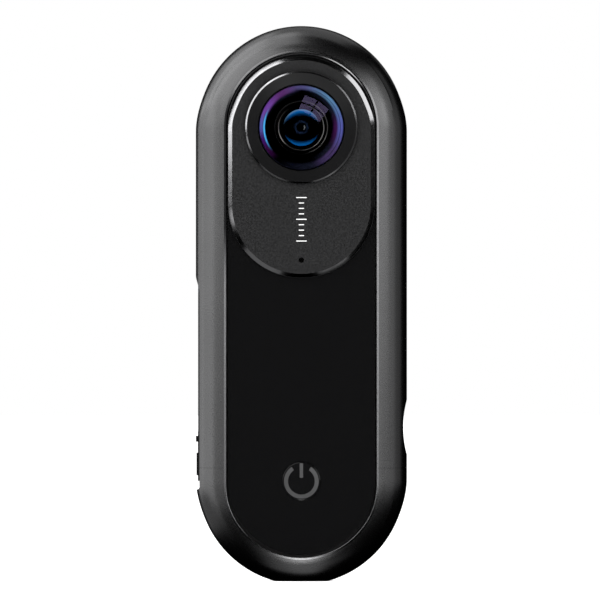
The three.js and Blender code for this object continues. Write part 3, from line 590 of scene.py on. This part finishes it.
def stands_for(obj, node, rounding=0.0, segments=2):
    """Lets a piece replace its CAD node, after rounding its edges by so many millimetres."""
    if rounding:
        bevelled(obj, rounding, segments)
    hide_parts(node)


def sided(obj, side, kind):
    """Turns a front piece's mesh to its side, where it replaces the CAD node of that kind."""
    if side == "rear":
        obj.data.transform(Matrix.Rotation(pi, 4, "Z"))
    stands_for(obj, f"{side}_{kind}")
    return obj


def lathe(name, section, centre_z, materials, steps=128, material_at=None, sharp=25):
    """A section [(radius, y), ...] turned round the Y axis at a height. material_at gives a section
    stretch's material index from its two ends."""
    verts = []
    for i in range(steps):
        a = 2 * pi * i / steps
        verts += [(r * cos(a), y, centre_z + r * sin(a)) for r, y in section]
    count = len(section)
    faces = strips(steps, count)
    indices = None
    if material_at:
        indices = [material_at(section[f[0] % count], section[f[1] % count]) for f in faces]
    return piece(name, verts, faces, materials, indices, sharp)


def pill_stations(arc_steps=72, straight_steps=16):
    """(angle, share) round a pill's outline: share is 1 at the top arc's centre and 0 at the bottom's."""
    around = [(pi * i / arc_steps, 1.0) for i in range(arc_steps + 1)]
    around += [(pi, 1 - i / straight_steps) for i in range(1, straight_steps)]
    around += [(pi + pi * i / arc_steps, 0.0) for i in range(arc_steps + 1)]
    around += [(2 * pi, i / straight_steps) for i in range(1, straight_steps)]
    return around


def eased(angle, amount):
    """An end arc's change of radius: nothing where it meets the straight sides, all of it above them."""
    share = min(1, abs(sin(angle)) / 0.4)
    return amount * share * share * (3 - 2 * share)


def plate(name, outline, low_z, high_z, holes, materials, material_at=None, arcs=(0, 0)):
    """A closed pill-shaped plate. outline is its edge's section [(radius, y), ...] from the front face
    to the back one, and each hole is (centre z, section) the same way. arcs is how much larger the
    bottom and top arcs are than half the width."""
    work = bmesh.new()
    fronts, backs = [], []
    loops = [(pill_stations(), outline, low_z, high_z)]
    loops += [([(2 * pi * i / 96, 0.0) for i in range(96)], section, z, z) for z, section in holes]
    for stations, section, low, high in loops:
        grid = []
        for angle, share in stations:
            z = low + (high - low) * share
            more = eased(angle, arcs[round(share)]) if section is outline else 0
            wider = [(r + more, y) for r, y in section]
            points = [Vector((r * cos(angle), y, z + r * sin(angle))) * MM for r, y in wider]
            grid.append([work.verts.new(point) for point in points])
        for i, row in enumerate(grid):
            following = grid[(i + 1) % len(grid)]
            for j in range(len(section) - 1):
                face = work.faces.new((row[j], row[j + 1], following[j + 1], following[j]))
                if material_at:
                    face.material_index = material_at(section[j], section[j + 1])
        fronts += [work.edges.get((row[0], grid[(i + 1) % len(grid)][0])) for i, row in enumerate(grid)]
        backs += [work.edges.get((row[-1], grid[(i + 1) % len(grid)][-1])) for i, row in enumerate(grid)]
    for edges in (fronts, backs):
        bmesh.ops.triangle_fill(work, use_beauty=True, edges=edges)
    mesh = bpy.data.meshes.new(name)
    work.to_mesh(mesh)
    work.free()
    obj = adopt(name, mesh, materials)
    weighted(obj)
    return obj


def prism(name, outline, axis, low, high, materials=(), body=BODY):
    """A closed outline [(u, v), ...] carried along an axis. u and v are the other two, in X, Y, Z order.
    A cutting tool needs no materials."""
    others = [k for k in (X, Y, Z) if k != axis]
    verts = []
    for end in (low, high):
        for u, v in outline:
            point = [0.0, 0.0, 0.0]
            point[axis], point[others[0]], point[others[1]] = end, u, v
            verts.append(point)
    count = len(outline)
    faces = [tuple(range(count)), tuple(range(2 * count - 1, count - 1, -1))]
    faces += [(i, (i + 1) % count, count + (i + 1) % count, count + i) for i in range(count)]
    return piece(name, verts, faces, materials, body=body)


def block(name, x, y, z, materials=(), body=BODY):
    return prism(name, [(y[0], z[0]), (y[1], z[0]), (y[1], z[1]), (y[0], z[1])], X, *x, materials, body)


def oblong(half_width, low, high, centre=0.0, steps=16):
    """An upright outline with round ends: points (across, up)."""
    upper = arc(centre, high - half_width, half_width, half_width, 0, 180, steps)
    return upper + arc(centre, low + half_width, half_width, half_width, 180, 360, steps)


def ring_outline(radius, centre=(0.0, 0.0), steps=48):
    return arc(*centre, radius, radius, 0, 360, steps)[:-1]


# ---- Housing ----
STRIP_LOW, STRIP_HIGH = 15.8, 53.5
STRIP_X = -span("side_strip", X)[0]
STRIP_HALF = 4.4
STRIP_RIM = 0.4
# The insert's face, the milled flat a little behind it, and the flat's half width.
INSERT_X = STRIP_X - 0.05
FLAT_X = INSERT_X - 0.23
POCKET_HALF = 5.05
# The top of the insert's lower step, and its depth.
STEP_Z, STEP = 17.75, 0.21
PLUG_Z = sum(span("phone_plug", Z)) / 2
SCOOP_DEPTH = 0.65
SCOOP_R = 17.7
MOUTH_ARCS = (0.2, 0.0)
# How much tighter the outline's shoulders are than true arcs.
SHOULDER = 0.26
USB_Y = sum(span("charging_socket", Y)) / 2
USB_Z = span("charging_socket", Z)
NUT_R = 4.2
# The ring's side openings are cut in from past its outside to inside its wall.
OUTSIDE_X, WALL_X = 19, 15.9
HOUSING_SHARP = 12


def pocket_outline():
    """The milled flat's outline: a round upper end, and a square lower one with rounded corners."""
    corner = 1.5
    across, low = POCKET_HALF - corner, STRIP_LOW + corner
    outline = arc(0, STRIP_HIGH - POCKET_HALF, POCKET_HALF, POCKET_HALF, 0, 180, 16)
    outline += arc(-across, low, corner, corner, 180, 270, 6)
    return outline + arc(across, low, corner, corner, 270, 360, 6)


def housing():
    """The frame and base cap: one swept C section with its openings cut, parted at the seam."""
    mouth = OPENING_R + RIM_CHAMFER
    low = sin(radians(FACE_TILT))
    semi_r = (END_R - mouth) / (1 - low)
    semi_y = (FACE_Y - RIM_DROP - SIDE_FLAT_Y) / cos(radians(FACE_TILT))
    bead = [(OPENING_R + out, down - FACE_Y) for out, down in ((0, 0.06), (0.02, 0.02), (0.06, 0))]
    front = bead + arc(END_R - semi_r, -SIDE_FLAT_Y, semi_r, semi_y, FACE_TILT - 90, 0, 16)
    back = [(r, -y) for r, y in reversed(front)]
    # Each point also says how far it keeps to the mouth's arc centres instead of the outline's.
    section = [(OPENING_R, -CAVITY_Y, 1.0)]
    section += [(r, y, min(1, 1 - (r - mouth) / (END_R - mouth))) for r, y in front + back]
    section += [(OPENING_R, CAVITY_Y, 1.0), (CAVITY_R, CAVITY_Y, 0.0), (CAVITY_R, -CAVITY_Y, 0.0)]
    verts = []
    stations = pill_stations(96, 24)
    for angle, share in stations:
        outer_z = OUTER_LOW + (OUTER_HIGH - OUTER_LOW) * share
        mouth_z = BUTTON_Z + (LENS_Z - BUTTON_Z) * share
        for r, y, keeps in section:
            z = outer_z + (mouth_z - outer_z) * keeps
            r += keeps * eased(angle, MOUTH_ARCS[round(share)])
            if r > CAVITY_R:
                r -= (1 - keeps) * eased(angle, SHOULDER) * cos(angle) ** 2
            verts.append((r * cos(angle), y, z + r * sin(angle)))
    faces = strips(len(stations), len(section))
    rim = {1, 2, 3, len(section) - 7, len(section) - 6, len(section) - 5}
    slots = [1 if f[0] % len(section) in rim else 0 for f in faces]
    obj = piece("housing", verts, faces, [METAL, RIM], slots)
    window = oblong(STRIP_HALF - STRIP_RIM, STRIP_LOW + STRIP_RIM, STRIP_HIGH - STRIP_RIM)
    scoop = ring_outline(SCOOP_R, (END_R - SCOOP_DEPTH + SCOOP_R, PLUG_Z), 240)
    port = oblong(1.7, PLUG_Z - 4.3, PLUG_Z + 4.3)
    charging = oblong(1.6, USB_Z[0] - 0.2, USB_Z[1] + 0.2, USB_Y)
    tools = [
        block("below", (-20, 20), (-10, 10), (-5, 0)),
        prism("pocket", pocket_outline(), X, -20, -FLAT_X),
        prism("window", window, X, -OUTSIDE_X, -WALL_X),
        prism("scoop", scoop, Y, -8.5, 8.5),
        prism("port", port, X, WALL_X, OUTSIDE_X),
        prism("charging", charging, X, WALL_X, OUTSIDE_X),
        prism("nut_hole", ring_outline(NUT_R + 0.15, steps=96), Z, -1, 2),
    ]
    carve(obj, tools, sharp=HOUSING_SHARP)
    for node, keep_above, height in (("frame_shell", True, SEAM_HIGH), ("base_cap", False, SEAM_LOW)):
        half = parted(node + "_satin", obj.data, height * MM, keep_above)
        weighted(half)
        stands_for(half, node)
    bpy.data.objects.remove(obj)


def parted(name, mesh, height, keep_above):
    """The piece of a mesh above or below a level, with the cut closed."""
    work = bmesh.new()
    work.from_mesh(mesh)
    cut = bmesh.ops.bisect_plane(
        work,
        geom=work.verts[:] + work.edges[:] + work.faces[:],
        plane_co=(0, 0, height),
        plane_no=(0, 0, 1),
        clear_inner=keep_above,
        clear_outer=not keep_above,
    )
    edges = [e for e in cut["geom_cut"] if isinstance(e, bmesh.types.BMEdge)]
    bmesh.ops.triangle_fill(work, use_beauty=True, edges=edges)
    half = mesh.copy()
    work.to_mesh(half)
    work.free()
    return adopt(name, half, (), HOUSING_SHARP)


def tripod_nut():
    """The brass nut with a real thread in its hole."""
    low, high = span("tripod_nut", Z)
    depth, pitch, crest, root = 6.6, 1.27, 2.55, 3.17
    flange = span("tripod_nut", X)[1]
    outer = [(NUT_R - 0.12, low), (NUT_R, low + 0.12), (NUT_R, 2.2), (flange - 0.1, 2.2), (flange, 2.3)]
    outer += [(flange, 3.2), (flange - 0.1, 3.3), (NUT_R, 3.3), (NUT_R, high - 0.15), (NUT_R - 0.15, high)]
    steps, rows = 64, 84
    verts = []
    for i in range(steps):
        turn = i / steps
        a = 2 * pi * turn
        bore = [(root + 0.2, low), (root, low + 0.2)]
        for k in range(1, rows):
            z = low + 0.2 + (depth - 0.2) * k / rows
            phase = (z / pitch - turn) % 1
            bore.append((crest + (root - crest) * min(1, abs(2 * phase - 1) * 1.15), z))
        section = outer + [(0, high), (0, depth)] + list(reversed(bore))
        verts += [(r * cos(a), r * sin(a), z) for r, z in section]
    faces = strips(steps, len(section))
    obj = piece("tripod_nut_threaded", verts, faces, [BRASS], sharp=35)
    stands_for(obj, "tripod_nut")


# ---- Faces ----


def soft_edge(radius, y_front, y_back, fillet=0.12, inward=False):
    """A plate edge's section with a small round at the front and a sharp back."""
    out = -fillet if inward else fillet
    return arc(radius - out, y_front + fillet, out, fillet, -90, 0, 4) + [(radius, y_back)]


def panel(side):
    faces_y = (-PANEL_FRONT, -PANEL_BACK)
    holes = [(LENS_Z, soft_edge(LENS_HOLE_R, *faces_y, inward=True))]
    if side == "front":
        holes.append((BUTTON_Z, soft_edge(BUTTON_R + BUTTON_GAP, *faces_y, 0.05, inward=True)))
        holes.append((MIC_Z, soft_edge(MIC_R, *faces_y, 0.03, inward=True)))
    edge = soft_edge(PANEL_R, *faces_y)
    materials = [PANEL_GLOSS[side], METAL]
    obj = plate(f"{side}_panel_gloss", edge, BUTTON_Z, LENS_Z, holes, materials, arcs=(0, PANEL_LIP))
    for face in obj.data.polygons:
        x, _, z = face.center / MM
        # The lip that shows above the lens plate is bare metal.
        if z > LENS_Z and hypot(x, z - LENS_Z) > PANEL_R + PANEL_LIP / 2:
            face.material_index = 1
    return sided(obj, side, "panel")


def lens_plate(side):
    """The satin plate with its broad polished chamfer, whose foot is rounded off."""
    inner, drop, foot = 0.68, 0.485, 0.03
    outline = [(PLATE_R - inner, -PLATE_FRONT), (PLATE_R - foot, drop - PLATE_FRONT)]
    outline += [(PLATE_R, drop + foot - PLATE_FRONT), (PLATE_R, -PLATE_BACK)]
    faces_y = (-PLATE_FRONT, -PLATE_BACK)
    holes = [(LENS_Z, soft_edge(LENS_HOLE_R, *faces_y, inward=True))]
    if side == "front":
        holes.append((MIC_Z, soft_edge(MIC_R, *faces_y, 0.08, inward=True)))
    name, materials, arcs = f"{side}_lens_plate_satin", [PLATE, PLATE_EDGE], (0, -0.36)
    chamfer = tuple(outline[:2])
    obj = plate(name, outline, PLATE_LOW, LENS_Z, holes, materials, lambda *ends: int(ends == chamfer), arcs)
    return sided(obj, side, "lens_plate")


def lens_bezel(side):
    """The ring round the glass: a satin cone between a polished outer chamfer and a thin inner lip."""
    inner, back, seat = DOME_R + 0.2, -8.5, 8.75
    section = [(inner, -9.3), (inner, -9.78), (inner + 0.07, -9.85), (9.42, -9.25)]
    section += [(9.68, -9.07), (BEZEL_R - 0.02, -9.05), (BEZEL_R, -8.97)]
    section += [(BEZEL_R, back), (seat, back), (seat, -9.3)]
    name, materials, chamfer = f"{side}_lens_bezel_ring", [BEZEL, BEZEL_EDGE], tuple(section[3:5])
    obj = lathe(name, section, LENS_Z, materials, 160, lambda *ends: int(ends == chamfer), 10)
    return sided(obj, side, "lens_bezel")


def dome(side):
    """The fisheye's front element: clear outside, hollow behind, with the coated slope of its edge,
    which carries painted reflections.
    """
    outer = spherical(-DOME_APEX, DOME_R - 0.02, -9.7, 28)
    hollow_r, rim_y = 4.7, -8.25
    hollow = spherical(-DOME_APEX + 1.1, hollow_r, rim_y, 14)
    section = outer + [(DOME_R, -9.66), (DOME_R, -9.5)] + list(reversed(hollow))

    def surface(start, end):
        """0 outside, 1 on the coated slope of the edge, 2 in the hollow."""
        if max(start[1], end[1]) < -9.6 and start in outer:
            return 0
        return 1 if min(start[0], end[0]) >= hollow_r - 0.01 else 2

    materials = [GLASS, RIM_COAT_REFLECTIONS[side], GLASS_INSIDE]
    obj = lathe(f"{side}_dome_glass", section, LENS_Z, materials, 128, surface, 40)
    return sided(obj, side, "dome_lens")


def inner_lens(side):
    section = spherical(-9.3, 3.1, -8.2, 14) + [(3.16, -8.1), (3.9, -7.7), (3.9, -6.95), (0, -6.95)]
    obj = lathe(f"{side}_inner_lens_coated", section, LENS_Z, [INNER_GLASS[side]], 96, sharp=40)
    return sided(obj, side, "inner_lens")


def lens_barrel(side):
    """The black barrel. Its front step carries painted highlights on the thin edges of two rings,
    the outer one raised.
    """
    step = -8.0
    section = [(7.4, -9.2), (8.6, -9.2), (8.6, -5.2), (5.2, -5.2), (5.2, -4.15), (2.6, -4.15), (2.6, -5.6)]
    section += [(3.5, -6.9), (3.64, -6.9), (3.64, step)]
    raised = ((-0.08, 0), (-0.04, 0.05), (0.04, 0.05), (0.08, 0))
    section += [(LARGE_RING_R + out, step - rise) for out, rise in raised]
    section += [(LARGE_RING_R + 0.08, -8.2), (7.4, -8.2)]

    def ring_edge(start, end):
        return 1 if max(abs(start[1] - step), abs(end[1] - step)) < 0.1 else 0

    obj = lathe(f"{side}_lens_barrel_stepped", section, LENS_Z, [BARREL, BARREL_RING_HIGHLIGHTS[side]], 96, ring_edge)
    return sided(obj, side, "lens_barrel")


def printed(y):
    """A print's thickness on a front face at y: a little proud of it, and rooted in it."""
    return y - 0.012, y + 0.01


def plate_marks():
    """A plain scale of ticks down the lens plate."""
    low, high, count, half = 58.8, 66.3, 9, 0.08
    for i in range(count):
        z = low + (high - low) * i / (count - 1)
        reach = 0.9 if i % 4 == 0 else 0.45
        thick = printed(-PLATE_FRONT)
        tick = block(f"plate_tick_{i + 1}", (-reach, reach), thick, (z - half, z + half), [WHITE_PRINT])
        bevelled(tick, 0.01, 1)


# ---- Shutter button ----


def shutter_button():
    y_front, y_skirt, y_back = -PANEL_FRONT, -PANEL_BACK + 0.05, -5.8
    skirt = span("shutter_button", X)[1]
    section = [(0, y_front), (BUTTON_R - 0.1, y_front)]
    section += [(BUTTON_R - 0.03, y_front + 0.02), (BUTTON_R, y_front + 0.08), (BUTTON_R, y_skirt)]
    section += [(skirt, y_skirt), (skirt, y_back), (1.2, y_back), (1.2, -5.7), (0, -5.7)]
    obj = lathe("shutter_button_gloss", section, BUTTON_Z, [GLOSS], 128, sharp=10)
    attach(obj, "shutter_button")
    stands_for(obj, "shutter_button")
    power_symbol(y_front)


def power_symbol(y):
    """A broken ring with an upright stroke in its gap, printed on the button."""
    outer, inner, gap = 3.0, 2.3, 34
    outline = arc(0, BUTTON_Z, outer, outer, 90 + gap, 450 - gap, 72)
    outline += arc(0, BUTTON_Z, inner, inner, 450 - gap, 90 + gap, 72)
    thick, body = printed(y), "shutter_button"
    ring = prism("button_mark_ring", outline, Y, *thick, [PRINT], body)
    stroke_z = (BUTTON_Z + 0.6, BUTTON_Z + 3.1)
    stroke = block("button_mark_stroke", (-0.3, 0.3), thick, stroke_z, [PRINT], body)
    for mark in (ring, stroke):
        bevelled(mark, 0.01, 1)


# ---- Sides ----
STROKE = 8
KNOB_LOW, KNOB_HIGH = span("slider_knob", Z)
KNOB_HALF = span("slider_knob", Y)[1]
STEM_LOW, STEM_HIGH, STEM_HALF = 18.4, 21.0, 0.9
CARD_X, CARD_Y, CARD_Z = (span("memory_card", axis) for axis in (X, Y, Z))
LIGHT_Z = sum(span("status_light", Z)) / 2


def side_strip():
    """The insert in the milled flat, with the slider's track and the card's slot."""
    low, high = span("side_strip", Z)
    half = span("side_strip", Y)[1]
    obj = prism("side_strip_moulded", oblong(half, low, high, steps=24), X, -INSERT_X, -16.55, [INSERT])
    track = oblong(KNOB_HALF + 0.15, KNOB_LOW - 0.3, KNOB_HIGH + STROKE + 0.3, steps=24)
    stem_y = (-STEM_HALF - 0.15, STEM_HALF + 0.15)
    stem_z = (STEM_LOW - 0.2, STEM_HIGH + STROKE + 0.2)
    slot_y, slot_z = ((low - 0.25, high + 0.25) for low, high in (CARD_Y, CARD_Z))
    tools = [
        prism("track", track, X, -19, -17.35),
        block("stem_path", (-19, -16), stem_y, stem_z),
        block("card_path", (-19, -16), slot_y, slot_z),
        block("step", (-20, STEP - INSERT_X), (-5, 5), (10, STEP_Z)),
        prism("light_hole", ring_outline(0.7, (0, LIGHT_Z), 32), X, -19, -16),
    ]
    carve(obj, tools)
    stands_for(obj, "side_strip", 0.07)


def slider_knob():
    """The thumb slider: a round-ended shoe with two raised grips, the lower one ribbed."""
    shoe = oblong(KNOB_HALF, KNOB_LOW, KNOB_HIGH, steps=24)
    body = "slider"
    obj = prism("slider_knob_ribbed", shoe, X, -STRIP_X, -17.4, [KNOB], body)
    grips = [
        block("low_grip", (-END_R + 0.1, -17.6), (-1.8, 1.8), (18.3, 22.2)),
        block("high_grip", (-END_R, -17.6), (-1.2, 1.2), (24.1, 25.1)),
        block("stem", (-17.6, -15), (-STEM_HALF, STEM_HALF), (STEM_LOW, STEM_HIGH)),
    ]
    carve(obj, grips, "UNION")
    grooves = [18.95 + 0.85 * i for i in range(4)]
    carve(obj, [block(f"rib_{z}", (-19, -END_R + 0.28), (-1.3, 1.3), (z, z + 0.3)) for z in grooves])
    stands_for(obj, "slider_knob", 0.06)


def contacts(name, count, low, pitch, height, x, y, body=BODY, rounding=0.01):
    """A column of gold contact pads, counted from 1 at its lower end."""
    for i in range(count):
        z = low + pitch * i
        pad = block(f"{name}_{i + 1}", x, y, (z, z + height), [GOLD], body)
        bevelled(pad, rounding, 1)


def memory_card():
    """The card, its stepped corner and the gold contacts at its inner end."""
    outer, inner = CARD_X
    low, high = CARD_Z
    step = 1.4
    corner = [(inner, high - step), (inner - 6.4, high - step), (inner - 7.4, high)]
    outline = [(outer, low), (inner, low), *corner, (outer, high)]
    body = "memory_card"
    obj = prism("memory_card_body", outline, Y, *CARD_Y, [CARD], body)
    stands_for(obj, "memory_card", 0.07)
    pad_x, pad_y = (inner - 3.4, inner - 0.6), (CARD_Y[1] - 0.01, CARD_Y[1] + 0.015)
    contacts("memory_card_contact", 8, low + 1.0, 1.1, 0.75, pad_x, pad_y, body)


def phone_plug():
    """The flat plug with eight gold contacts on each of its faces."""
    tip = span("phone_plug", X)[1]
    body = "plug"
    obj = prism("phone_plug_tongue", oblong(0.75, PLUG_Z - 3.35, PLUG_Z + 3.35), X, 10.4, tip, [STEEL], body)
    carve(obj, [prism("shank", oblong(0.95, PLUG_Z - 3.5, PLUG_Z + 3.5), X, 5.5, 10.5)], "UNION")
    stands_for(obj, "phone_plug", 0.12, 3)
    pad_x = (tip - 3.9, tip - 1.1)
    for face, pad_y in (("front", (-0.765, -0.74)), ("rear", (0.74, 0.765))):
        name = f"phone_plug_contact_{face}"
        contacts(name, 8, PLUG_Z - 2.66, 0.68, 0.42, pad_x, pad_y, body)


def plug_trim():
    low, high = span("plug_port_trim", Z)
    obj = prism("plug_port_trim_moulded", oblong(1.6, low, high), X, 16.5, 17.5, [BLACK])
    carve(obj, [prism("bore", oblong(1.1, low + 0.5, high - 0.5), X, 16, 18)])
    stands_for(obj, "plug_port_trim", 0.08)


def charging_socket():
    """The folded steel shell with its tongue and five contacts."""
    inner, mouth = span("charging_socket", X)
    low, high = USB_Z
    obj = prism("charging_socket_shell", oblong(1.4, low, high, USB_Y), X, inner, mouth, [STEEL])
    carve(obj, [prism("hollow", oblong(1.1, low + 0.3, high - 0.3, USB_Y), X, inner + 0.6, mouth + 1)])
    stands_for(obj, "charging_socket", 0.05)
    tongue_y, tongue_z = (USB_Y - 0.1, USB_Y + 0.5), (low + 1.4, high - 1.4)
    tongue = block("charging_socket_tongue", (inner + 0.5, mouth - 0.9), tongue_y, tongue_z, [BLACK])
    bevelled(tongue, 0.06)
    pad_x, pad_y = (mouth - 3.6, mouth - 1.1), (USB_Y - 0.115, USB_Y - 0.09)
    contacts("charging_socket_contact", 5, low + 1.95, 0.8, 0.4, pad_x, pad_y, rounding=0.005)


def status_light():
    x = span("status_light", X)
    obj = prism("status_light_pipe", ring_outline(0.6, (0, LIGHT_Z), 32), X, *x, [LIGHT_PIPE])
    stands_for(obj, "status_light", 0.12, 3)


# ---- Inside: the CAD nodes keep their shapes, with rounded edges and real finishes ----
INSIDE = {
    GREY: ["mid_chassis", "mechanism_cover", "battery_plug", "slider_rack", "plug_carriage"],
    BLACK: ["front_carrier", "rear_carrier", "optics_housing", "microphone"],
    BOARD: ["front_sensor_board", "rear_sensor_board", "main_board", "button_board"],
    CHIP: ["front_image_sensor", "rear_image_sensor", "processor", "motion_sensor"],
    STEEL: ["shield_can", "radio_module", "button_switch", "card_socket", "pinion_axle"],
    BRASS: ["pinion", "antenna"],
    FOIL: ["battery"],
    FLEX: ["front_sensor_flex", "rear_sensor_flex"],
    OPTIC: [f"{side}_{kind}" for side in SIDES for kind in ("fold_prism", "relay_lens")],
}
INSIDE[STEEL] += sorted(n for n in NODES if n.startswith("carrier_screw_"))


def finish_inside():
    for shader, names in INSIDE.items():
        for name in names:
            obj = NODES[name]
            obj.data.materials.clear()
            obj.data.materials.append(shader.material)
            weld = obj.modifiers.new("weld", "WELD")
            weld.merge_threshold = 1e-6
            bevelled(obj, 0.04, 2, 35)


# ---- Build ----
housing()
tripod_nut()
DOMES, INTERIORS, PLATES = [], [], []
for side in SIDES:
    PLATES += [panel(side), lens_plate(side), lens_bezel(side)]
    DOMES.append(dome(side))
    INTERIORS += [DOMES[-1], inner_lens(side), lens_barrel(side)]
plate_marks()
shutter_button()
side_strip()
slider_knob()
memory_card()
phone_plug()
plug_trim()
charging_socket()
status_light()
finish_inside()

# ---- Stage and light ----
CENTRE = Vector((0, 0, HEIGHT / 2)) * MM
LENS_CENTRE = Vector((0, -8, LENS_Z)) * MM


def floor():
    """A wide pale floor: clear from below, and bright enough to run into the background."""
    mesh = bpy.data.meshes.new("floor")
    half = 4.0
    corners = [(-half, -half, 0), (half, -half, 0), (half, half, 0), (-half, half, 0)]
    mesh.from_pydata(corners, [], [(0, 1, 2, 3)])
    obj = linked("floor", mesh)
    shader = Shader("floor_pale", (0.85, 0.85, 0.85), 1.0, Specular_IOR_Level=0)
    shader.set("Emission Color", (1, 1, 1, 1))
    shader.set("Emission Strength", 0.62)
    below = shader.add("ShaderNodeNewGeometry").outputs["Backfacing"]
    clear = shader.add("ShaderNodeBsdfTransparent")
    shader.blend(below, shader.principled.outputs[0], clear.outputs[0])
    mesh.materials.append(shader.material)
    obj.visible_glossy = False


def world():
    surroundings = bpy.data.worlds.new("studio")
    surroundings.use_nodes = True
    background = surroundings.node_tree.nodes["Background"]
    background.inputs["Color"].default_value = (1, 1, 1, 1)
    background.inputs["Strength"].default_value = 1.0
    SCENE.world = surroundings
    surroundings.cycles_visibility.glossy = False


def softbox(
    name, hour, away, size, strength, off=(0, 0), side="front", far=0.7, centre=CENTRE, only=(), without=()
):
    """An area light seen from a centre at a clock hour and so many degrees away from the camera's
    direction. size is its extent in degrees round the clock and outwards, off moves it by as much, and
    strength is its brightness as a surface. For the rear side it stands behind the object instead. It
    lights either only some objects or all without some."""
    turn, tilt = 2 * pi * hour / 12, radians(away)
    outwards = Vector((sin(turn) * sin(tilt), -cos(tilt), cos(turn) * sin(tilt)))
    around = Vector((cos(turn), 0, -sin(turn)))
    up = Vector((sin(turn) * cos(tilt), sin(tilt), cos(turn) * cos(tilt)))
    direction = (outwards + around * tan(radians(off[0])) + up * tan(radians(off[1]))).normalized()
    data = bpy.data.lights.new(name, "AREA")
    data.shape = "RECTANGLE"
    data.size, data.size_y = (2 * far * tan(radians(s) / 2) for s in size)
    # A lamp of this power has a surface as bright as strength.
    data.energy = strength * data.size * data.size_y * pi
    obj = linked(name, data)
    side_axis = around.cross(direction).cross(direction).normalized() * -1
    turned = Matrix((side_axis, direction.cross(side_axis), direction)).transposed()
    placed = Matrix.Translation(centre + direction * far) @ turned.to_4x4()
    if side == "rear":
        placed = Matrix.Rotation(pi, 4, "Z") @ placed
    obj.matrix_world = placed
    obj.visible_camera = False
    link = bpy.data.collections.new(name + "_link")
    for target in only or without:
        link.objects.link(target)
    for entry in link.collection_objects:
        entry.light_linking.link_state = "EXCLUDE" if without else "INCLUDE"
    obj.light_linking.receiver_collection = link


def window(hour, away, targets):
    """Four panes that only the domes mirror."""
    for side in SIDES:
        for across in (-11.5, 11.5):
            for up in (-8.5, 8.5):
                softbox("pane", hour, away, (20, 14), 0.85, off=(across, up), side=side, only=targets)


# Each lamp's name, hour, degrees away, extent and strength. The body is lit mostly from its left and
# above, and dimly from its right and below.
BODY_LAMPS = [
    ("left_front", 9.2, 36, (9, 43), 0.93),
    ("left_side", 9.2, 77, (37, 46), 1.03),
    ("left_back", 9.15, 114, (33, 34), 1.0),
    ("left_upper", 9.4, 63, (16, 49), 0.57),
    ("upper_left", 10.55, 47, (38, 46), 1.54),
    ("upper_left_side", 10.5, 85, (50, 36), 1.7),
    ("upper_left_back", 10.5, 114, (53, 32), 0.95),
    ("top_side", 11.65, 78, (17, 54), 1.05),
    ("top_back", 0.15, 115, (44, 57), 0.38),
    ("right_upper", 1.8, 42, (8, 29), 0.93),
    ("right_front", 2.5, 36, (18, 35), 1.85),
    ("right_middle", 2.55, 58, (36, 32), 0.38),
    ("right_side", 2.4, 79, (50, 48), 0.24),
    ("right_back", 1.6, 147, (11, 19), 0.12),
    ("below_front", 6, 31, (9, 16), 3.5),
    ("below", 5.9, 53, (16, 53), 0.52),
    ("below_left", 6.4, 53, (14, 50), 0.31),
    ("below_right", 5.4, 55, (19, 16), 0.1),
    ("lower_left", 8.2, 94, (18, 85), 0.29),
    ("lower_left_front", 8.5, 44, (8, 33), 0.45),
]
# The plates have lamps of their own, since their polished edges would mirror the others as broad glare.
PLATE_LAMPS = [
    ("plate_left", 9.9, 73, (54, 16), 1.33),
    ("plate_left_end", 11.1, 60, (19, 42), 1.3),
    ("plate_left_arc", 8.5, 73, (12, 16), 0.35),
    ("plate_left_low", 8.5, 53, (22, 60), 0.05),
    ("plate_right", 2, 87, (38, 30), 1.0),
    ("plate_right_low", 3.5, 53, (88, 36), 0.07),
    ("plate_low_right", 5.15, 72, (24, 16), 0.11),
    ("plate_low_left", 7.05, 82, (32, 28), 0.11),
    ("plate_top", 0.8, 32, (50, 18), 0.8),
]


def lights():
    for lamp in BODY_LAMPS:
        softbox(*lamp, without=INTERIORS + PLATES)
    for side in SIDES:
        plates = [obj for obj in PLATES if obj.name.startswith(side)]
        for lamp in PLATE_LAMPS:
            softbox(*lamp, far=0.15, centre=LENS_CENTRE, side=side, only=plates)
    window(1, 44.6, DOMES)


floor()
world()
lights()
